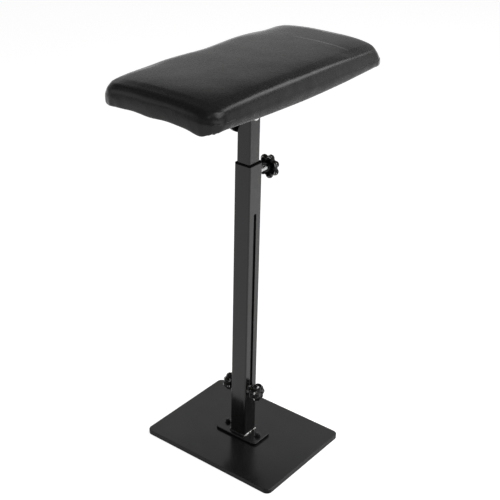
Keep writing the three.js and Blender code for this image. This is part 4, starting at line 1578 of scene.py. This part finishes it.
def ring_section():
    """Each ring's inset, and its height below the crown, between foot and shoulder or over the underside."""
    section = []
    for step in range(1, SHOULDER_STEPS + 1):
        angle = math.pi / 2 * (1 - step / SHOULDER_STEPS)
        inset = SHOULDER_INSET_MM + EDGE_ROUND_MM * (1 - math.cos(angle))
        section.append((inset, "below", 1 - math.sin(angle)))
    section += [(0.2, "between", 0.5), (0.0, "between", 0.0)]
    return section + [(inset, "over", rise) for inset, rise in HEM_SECTION_MM]


def ring_at(inset, kind, value):
    plan = whole_ring(pad_outline(inset))
    if kind == "below":
        height = crown(plan) - value * edge_round(plan)
    elif kind == "between":
        height = FOAM_FOOT + (crown(plan) - edge_round(plan) - FOAM_FOOT) * value
    else:
        height = np.full(len(plan), PAD_UNDER + value)
    return np.column_stack([plan, height])


print("rings from shoulder to hem", len(ring_section()))

# %% [markdown]
# ## The pad's grid
# The top is a patch blended from its four sides, so its cells run evenly into the rings. A second patch
# closes the underside for the simulation alone, because pressure needs a closed body. It is left out after.


# %% A patch and its faces
def patch(sides):
    """Fills four joined sides with a grid, blended from all of them."""
    bottom, right, top, left = sides[0], sides[1], sides[2][::-1], sides[3][::-1]
    across = np.linspace(0, 1, len(bottom))[:, None, None]
    along = np.linspace(0, 1, len(right))[None, :, None]
    grid = ((1 - along) * bottom[:, None] + along * top[:, None]
            + (1 - across) * left[None] + across * right[None])
    grid -= ((1 - across) * (1 - along) * bottom[0] + across * (1 - along) * bottom[-1]
             + (1 - across) * along * top[0] + across * along * top[-1])
    return grid


def patch_border(columns, rows):
    """The numbers of a patch's outer points, in the order of the rings."""
    return ([i * rows for i in range(columns - 1)] + [(columns - 1) * rows + j for j in range(rows - 1)]
            + [i * rows + rows - 1 for i in range(columns - 1, 0, -1)] + list(range(rows - 1, 0, -1)))


def grid_faces(first, columns, rows, flip):
    faces = []
    for i in range(columns - 1):
        for j in range(rows - 1):
            a, b = first + i * rows + j, first + (i + 1) * rows + j
            quad = (a, b, b + 1, a + 1)
            faces.append(tuple(reversed(quad)) if flip else quad)
    return faces


print("a patch of", CORNER_CELLS * 2 + LONG_CELLS, "by", CORNER_CELLS * 2 + SHORT_CELLS, "cells")

# %% [markdown]
# All points go into one list, the top patch first, then the rings, then the under patch. Faces join each ring
# to the next by number, and the patch's border serves as the ring before the first.

# %% Points and faces of the whole pad
HEM_TO_PATCH_MM = 3.0


def pad_grid():
    """Top patch, side and hem rings, and an under patch that only closes the body for the simulation."""
    top_plan = patch(pad_outline(SHOULDER_INSET_MM + EDGE_ROUND_MM))
    columns, rows = top_plan.shape[:2]
    top = np.concatenate([top_plan, crown(top_plan)[..., None]], axis=2).reshape(-1, 3)
    rings = [ring_at(*row) for row in ring_section()]
    under_plan = patch(pad_outline(HEM_MM + HEM_TO_PATCH_MM))
    under = np.concatenate([under_plan, np.full((columns, rows, 1), PAD_UNDER)], axis=2).reshape(-1, 3)
    points = np.concatenate([top, *rings, under])
    start, count = len(top), len(rings[0])
    border = patch_border(columns, rows)
    loops = [border] + [[start + r * count + i for i in range(count)] for r in range(len(rings))]
    faces = grid_faces(0, columns, rows, False)
    for upper, lower in zip(loops, loops[1:]):
        for i in range(count):
            after = (i + 1) % count
            faces.append((upper[i], lower[i], lower[after], upper[after]))
    under_first = start + len(rings) * count
    closing = [(loops[-1][i], under_first + border[i], under_first + border[(i + 1) % count],
                loops[-1][(i + 1) % count]) for i in range(count)]
    return points, faces, closing + grid_faces(under_first, columns, rows, True), start, count


pad_points, pad_faces, under_faces, top_count, ring_count = pad_grid()
print("pad points", len(pad_points), "quads", len(pad_faces))

# %% [markdown]
# ## Before the foam pushes
# The cloth starts a little smaller than the pad: lower on top and drawn in along the free part of the side.
# The hem and the lower edge are held, as by the staples.

# %% The cover before the simulation
FREE_RINGS = 9
SHOULDER_RINGS = 2
SWELL_MM = 1.2
SIDE_SWELL_SHARE = 0.7


def shrunk(points):
    """The cover before the pressure, and which of its points are held."""
    start = points.copy()
    ring_index = (np.arange(len(points)) - top_count) // ring_count
    free = np.where(ring_index < 0, 1.0, np.clip(1 - (ring_index + 1) / (FREE_RINGS + 1), 0, 1))
    start[:, 2] -= SWELL_MM * free
    side = (ring_index >= SHOULDER_RINGS) & (ring_index < FREE_RINGS)
    start[side, :2] *= 1 - SIDE_SWELL_SHARE * SWELL_MM * free[side, None] / PAD_HALF_Y
    return start, ring_index >= FREE_RINGS


print("held points", int(shrunk(pad_points)[1].sum()))

# %% [markdown]
# ## The foam's pressure
# Blender's cloth, closed and under pressure without gravity, swells as an upholstered cover does: most where
# it is least held. Twenty frames are enough for it to settle.

# %% Cloth under pressure
CLOTH_FRAMES = 20
CLOTH_SETTINGS = {
    "quality": 6, "mass": 0.3, "tension_stiffness": 25, "compression_stiffness": 25, "shear_stiffness": 8,
    "bending_stiffness": 2.0, "use_pressure": True, "uniform_pressure_force": 4.0,
}


def pressed_out(start, fixed):
    """How far each point moves in a short cloth simulation under pressure."""
    body = loose_object("cover_cloth", start, pad_faces + under_faces)
    held = body.vertex_groups.new(name="held")
    held.add([int(i) for i in np.nonzero(fixed)[0]], 1.0, "REPLACE")
    cloth = body.modifiers.new("cloth", "CLOTH")
    for name, value in CLOTH_SETTINGS.items():
        setattr(cloth.settings, name, value)
    cloth.settings.vertex_group_mass = held.name
    cloth.settings.effector_weights.gravity = 0
    cloth.collision_settings.use_collision = False
    cloth.point_cache.frame_start = 1
    cloth.point_cache.frame_end = CLOTH_FRAMES
    for number in range(1, CLOTH_FRAMES + 1):
        bpy.context.scene.frame_set(number)
    mesh = bpy.data.meshes.new_from_object(body.evaluated_get(bpy.context.evaluated_depsgraph_get()))
    moved = mesh_points(mesh) - start
    bpy.data.objects.remove(body)
    bpy.data.meshes.remove(mesh)
    bpy.context.scene.frame_set(1)
    return moved


print("cloth runs for", CLOTH_FRAMES, "frames")

# %% [markdown]
# ## Keeping the pad's size
# The free swell would make the pad larger than it is, so each point's travel is capped. A hard cap leaves
# small steps, which rounds of averaging with the neighbours take out.

# %% Cap and ease the travel
EASE_ROUNDS = 12


def eased_travel(moved, fixed):
    """The travel capped, then averaged with the neighbours' a few times."""
    length = np.linalg.norm(moved, axis=1, keepdims=True)
    print("cloth moved points by up to", round(float(length.max()), 2), "mm, capped at", SWELL_MM)
    moved = moved * (SWELL_MM / np.maximum(length, SWELL_MM))
    quads = np.array(pad_faces + under_faces)
    links = np.concatenate([quads[:, (corner, corner - 1)] for corner in range(4)])
    neighbours = np.bincount(links[:, 0], minlength=len(moved))[:, None]
    for _ in range(EASE_ROUNDS):
        total = np.zeros_like(moved)
        np.add.at(total, links[:, 0], moved[links[:, 1]])
        moved = np.where(fixed[:, None], 0, total / np.maximum(neighbours, 1))
    return moved


def swollen(points):
    start, fixed = shrunk(points)
    return start + eased_travel(pressed_out(start, fixed), fixed)


cover_points = swollen(pad_points)
print("cover top at", round(float(cover_points[:, 2].max()), 1), "mm")

# %% [markdown]
# ## The lower edge
# Along the sides the lower edge follows the pull of the staples in slow waves. Pulling a flat cloth round a
# corner leaves too much of it there. It is folded under, and the fold hangs lower than the rest, beside the
# corner rather than on it.

# %% How far the lower edge rises or hangs
# Middle of each corner's fold in x and y, how far it hangs, and its reach
CORNER_FOLDS_MM = ((-204.5, -79.0, 7.6, 13.0), (204.0, -88.0, 3.4, 12.0), (204.0, 84.0, 5.0, 12.0),
                   (-203.0, 90.0, 4.2, 11.0))
SIDE_SAG_MM = 0.9
SIDE_RISE_MM = 5.6
SIDE_SHARE = 0.95
END_RISE_MM = 1.7
WAVE_MM = 0.8
WAVE_LENGTH_MM = 57
WAVE_DRIFT_MM = 90


def lower_edge_shift(x, y):
    """How far the lower edge is raised or hangs at a plan point."""
    along = np.clip(np.abs(x) / (PAD_HALF_X * SIDE_SHARE), 0, 1)
    on_end = np.clip((np.abs(x) - PAD_HALF_X + PAD_CORNER_MM) / PAD_CORNER_MM, 0, 1)
    sides = SIDE_RISE_MM * along ** 2 - SIDE_SAG_MM
    wave = WAVE_MM * on_end * np.sin(y * 2 * math.pi / WAVE_LENGTH_MM + x / WAVE_DRIFT_MM)
    shift = sides * (1 - on_end) + END_RISE_MM * on_end + wave
    for fold_x, fold_y, drop, reach in CORNER_FOLDS_MM:
        shift = shift - drop * np.exp(-((x - fold_x) ** 2 + (y - fold_y) ** 2) / (2 * reach ** 2))
    return shift


def fading(value, start, reach):
    """1 below the start less the reach, falling evenly to 0 at the start."""
    return np.clip((start - value) / reach, 0, 1)


def rising(value, start, reach):
    """0 up to the start, rising evenly to 1 over the reach."""
    return np.clip((value - start) / reach, 0, 1)


print("middle of a long side hangs", SIDE_SAG_MM, "mm")

# %% [markdown]
# ## Ripples, pleats and unevenness
# Beside each corner the gathered cloth shows a few shallow ripples on the side and fine pleats under the
# board, and nowhere is a hand-stretched cover quite even. All of it comes after the simulation, whose cells
# are too coarse for it: each kind is a sum of waves or noise, let through only where it belongs.

# %% Waves at the corners and all over
RIPPLE_MM = 0.6
RIPPLES_A_TURN = 12
RIPPLE_REACH_MM = 24
PHASE_BY_END = 1.3
PHASE_BY_SIDE = 0.7
PLEAT_MM = 1.3
PLEATS_A_TURN = 22
PLEAT_REACH_MM = 22
CORNER_MIDDLE_SHARE = 0.3
WIDE_NOISE_MM = (42, 42, 34)
FINE_NOISE_MM = (15, 15, 11)
FINE_NOISE_SHIFT = (5, 0, 0)


def corner_share(x, y, reach):
    """1 at the middle of each corner's arc, falling to 0 at that reach along the sides."""
    off_x = np.abs(x) - (PAD_HALF_X - PAD_CORNER_MM * CORNER_MIDDLE_SHARE)
    off_y = np.abs(y) - (PAD_HALF_Y - PAD_CORNER_MM * CORNER_MIDDLE_SHARE)
    return np.exp(-(off_x ** 2 + off_y ** 2) / (2 * reach ** 2))


def corner_turn(x, y):
    """The angle round the nearest corner."""
    return np.arctan2(np.abs(y) - PAD_HALF_Y + PAD_CORNER_MM, np.abs(x) - PAD_HALF_X + PAD_CORNER_MM)


def ripples(x, y):
    phase = corner_turn(x, y) * RIPPLES_A_TURN + PHASE_BY_END * np.sign(x) + PHASE_BY_SIDE * np.sign(y)
    return RIPPLE_MM * np.cos(phase) * corner_share(x, y, RIPPLE_REACH_MM)


def pleats(x, y):
    wave = 0.5 + 0.5 * np.cos(corner_turn(x, y) * PLEATS_A_TURN)
    return PLEAT_MM * corner_share(x, y, PLEAT_REACH_MM) * wave


def noise_at(spots):
    return np.array([noise.noise(Vector(spot)) for spot in spots])


def outward_from(x, y):
    """The way out of the pad in plan, for points near its sides."""
    way = np.column_stack([x / PAD_HALF_X, y / PAD_HALF_Y]) ** 3
    return way / np.maximum(np.linalg.norm(way, axis=1, keepdims=True), TINY)


print("ripples of", RIPPLE_MM, "mm, pleats of", PLEAT_MM, "mm")

# %% [markdown]
# ## Folding the cover
# Each shift is let through by a share between 0 and 1: low on the side for the hanging edge, on the outer hem
# only, on the upright side for the ripples, and under the board for the pleats.

# %% Where each shift is let through
LOW_REACH_MM = 17
HEM_HELD_FROM_MM = 16
HEM_FADE_MM = 11
UPRIGHT_FROM_TOP_MM = 10
UPRIGHT_FADE_MM = 12
UPRIGHT_FOOT_MM = 4
UNDER_MM = 2
UNDER_INSET_MM = 6
UNDER_FADE_MM = 5
UNDER_FACE_MM = 3
WIDE_OUT_MM = 0.5
FINE_OUT_MM = 0.3
WIDE_UP_MM = 0.35
FINE_UP_MM = 0.07


def fold_pad(points):
    x, y, z = points.T
    inset = np.minimum(PAD_HALF_X - np.abs(x), PAD_HALF_Y - np.abs(y))
    low = fading(z, PAD_UNDER + LOW_REACH_MM, LOW_REACH_MM)
    low = low * low * (3 - 2 * low)
    outer = np.where(z < PAD_UNDER + UNDER_FACE_MM, fading(inset, HEM_HELD_FROM_MM, HEM_FADE_MM), 1.0)
    upright = (fading(z, PAD_TOP - UPRIGHT_FROM_TOP_MM, UPRIGHT_FADE_MM)
               * rising(z, PAD_UNDER, UPRIGHT_FOOT_MM))
    under = fading(z, PAD_UNDER + UNDER_MM, UNDER_MM) * rising(inset, UNDER_INSET_MM, UNDER_FADE_MM)
    wide = noise_at(points / WIDE_NOISE_MM)
    fine = noise_at(points / FINE_NOISE_MM + FINE_NOISE_SHIFT)
    outward = ripples(x, y) * upright * low + (wide * WIDE_OUT_MM + fine * FINE_OUT_MM) * upright
    upward = (lower_edge_shift(x, y) * low * outer - pleats(x, y) * under
              + (wide * WIDE_UP_MM + fine * FINE_UP_MM) * (1 - under))
    return points + np.column_stack([outward_from(x, y) * outward[:, None], upward])


print("the hem is held from", HEM_HELD_FROM_MM, "mm in")

# %% [markdown]
# ## Foam under the cover
# The foam has the cover's own grid, drawn in by the cloth's thickness and cut flat where it lies on the
# board, so it fits the cover however that swells.


# %% The foam block
def foam_block():
    count = top_count + FREE_RINGS * ring_count
    points = cover_points[:count].copy()
    points[:, :2] *= 1 - 2 * LEATHER_MM / PAD_HALF_Y
    points[:, 2] = np.maximum(points[:, 2] - 2 * LEATHER_MM, FOAM_FOOT)
    points[-ring_count:, 2] = FOAM_FOOT
    faces = [face for face in pad_faces if max(face) < count]
    return points, faces + [tuple(range(count - 1, count - ring_count - 1, -1))]


foam = new_piece("pad_foam", foam_block(), pad_foam_finish, "pad", ("foam_core",), "foam", sharp_deg=60.0)
print("foam faces", len(foam.data.polygons))

# %% [markdown]
# ## The cover
# The simulated sheet is made finer with one subdivision, then folded, then given the cloth's thickness on the
# inside. Solidify comes last, because every fold then keeps one even thickness.


# %% Sheet, folds and thickness
def cover_sheet():
    """The simulated sheet without the patch that closed it, one subdivision finer."""
    mesh = bpy.data.meshes.new("pad_cover")
    used = np.unique(np.array(pad_faces))
    renumber = np.zeros(len(cover_points), int)
    renumber[used] = np.arange(len(used))
    mesh.from_pydata([tuple(p) for p in cover_points[used] * MM], [],
                     [tuple(int(renumber[i]) for i in face) for face in pad_faces])
    blank = show("pad_cover_blank", mesh)
    finer = blank.modifiers.new("finer", "SUBSURF")
    finer.levels = 1
    finer.render_levels = 1
    finer.boundary_smooth = "PRESERVE_CORNERS"
    return applied(blank)


def pad_cover():
    mesh = cover_sheet()
    mesh.vertices.foreach_set("co", (fold_pad(mesh_points(mesh)) * MM).ravel())
    shell = show("pad_shell", mesh)
    wall = shell.modifiers.new("leather", "SOLIDIFY")
    wall.thickness = LEATHER_MM * MM
    wall.offset = -1
    return applied(shell)


cover = dress("pad_cover", pad_cover(), leathercloth, "pad", ("leather_cover",), "leathercloth",
              sharp_deg=70.0)
print("cover faces", len(cover.data.polygons))

# %% [markdown]
# ## Staples
# Under the board a staple every 24 mm holds the hem. Geometry Nodes walk along the hem and set a bent wire at
# each step, along the path and a little askew, as a staple gun leaves it. An array along a curve would set
# them all alike.

# %% One staple
STAPLE_CROWN_MM = 10.0
STAPLE_WIRE_MM = 0.7
STAPLE_LEG_MM = 1.0
STAPLE_BEND_MM = 0.5


def staple_blank():
    """One staple: a flat bar with its two legs just showing, lying along X with its back down."""
    half, wire, leg, bend = STAPLE_CROWN_MM / 2, STAPLE_WIRE_MM / 2, STAPLE_LEG_MM, STAPLE_BEND_MM
    plan = [(-half, leg), (-half, 0), (-half + bend, -bend), (half - bend, -bend), (half, 0), (half, leg)]
    rings = [[(x + dx * wire / 2, dy * wire, z + dz * wire / 2)
              for dx, dy, dz in ((0, -1, 1), (0, -1, -1), (0, 1, -1), (0, 1, 1))] for x, z in plan]
    return loose_object("staple_blank", *ring_skin(rings))


staple = staple_blank()
print("staple faces", len(staple.data.polygons))

# %% [markdown]
# The group takes the staple as an object, so its shape stays in one place, and turns each copy about the
# upright by a random angle from a fixed seed.

# %% Staples along the hem
STAPLE_STEP_MM = 24.0
STAPLE_INSET_MM = 22.0
STAPLE_SINK_MM = 0.1
STAPLE_ASKEW = 0.22
STAPLE_SEED = 3


def staple_group():
    group = group_with("staples", ("Step", "NodeSocketFloat", STAPLE_STEP_MM * MM),
                       ("Staple", "NodeSocketObject", None), ("Seed", "NodeSocketInt", STAPLE_SEED),
                       ("Finish", "NodeSocketMaterial", None))
    shape = add(group, "GeometryNodeObjectInfo", Object=entry(group, "Staple"))
    turn = add(group, "ShaderNodeCombineXYZ")
    group.links.new(random_number(group, -STAPLE_ASKEW, STAPLE_ASKEW), turn.inputs[2])
    askew = add(group, "FunctionNodeRotateRotation", Rotation=facing_along(group, "X"))
    group.links.new(turn.outputs[0], askew.inputs[1])
    leave_real(group, add(group, "GeometryNodeInstanceOnPoints", Points=steps_along(group),
                          Instance=shape.outputs["Geometry"], Rotation=askew.outputs[0]))
    return group


hem_path = outline_path("hem_path", whole_ring(pad_outline(STAPLE_INSET_MM)), PAD_UNDER + STAPLE_SINK_MM)
run_group(hem_path, staple_group(), {"Staple": staple, "Finish": zinc})
staples_mesh = applied(hem_path)
bpy.data.objects.remove(staple)
hem_staples = dress("hem_staples", staples_mesh, zinc, "pad", slot="zinc", sharp_deg=30.0)
print("staple faces in all", len(hem_staples.data.polygons))

# %% How far the two boxes differ
visual_low, visual_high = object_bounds()
grown = [(v - c) / MM for v, c in zip((*visual_low, *visual_high), (*cad_low, *cad_high))]
print("grows by mm", [round(side, 2) for side in grown])

# %% [markdown]
# ## Finish
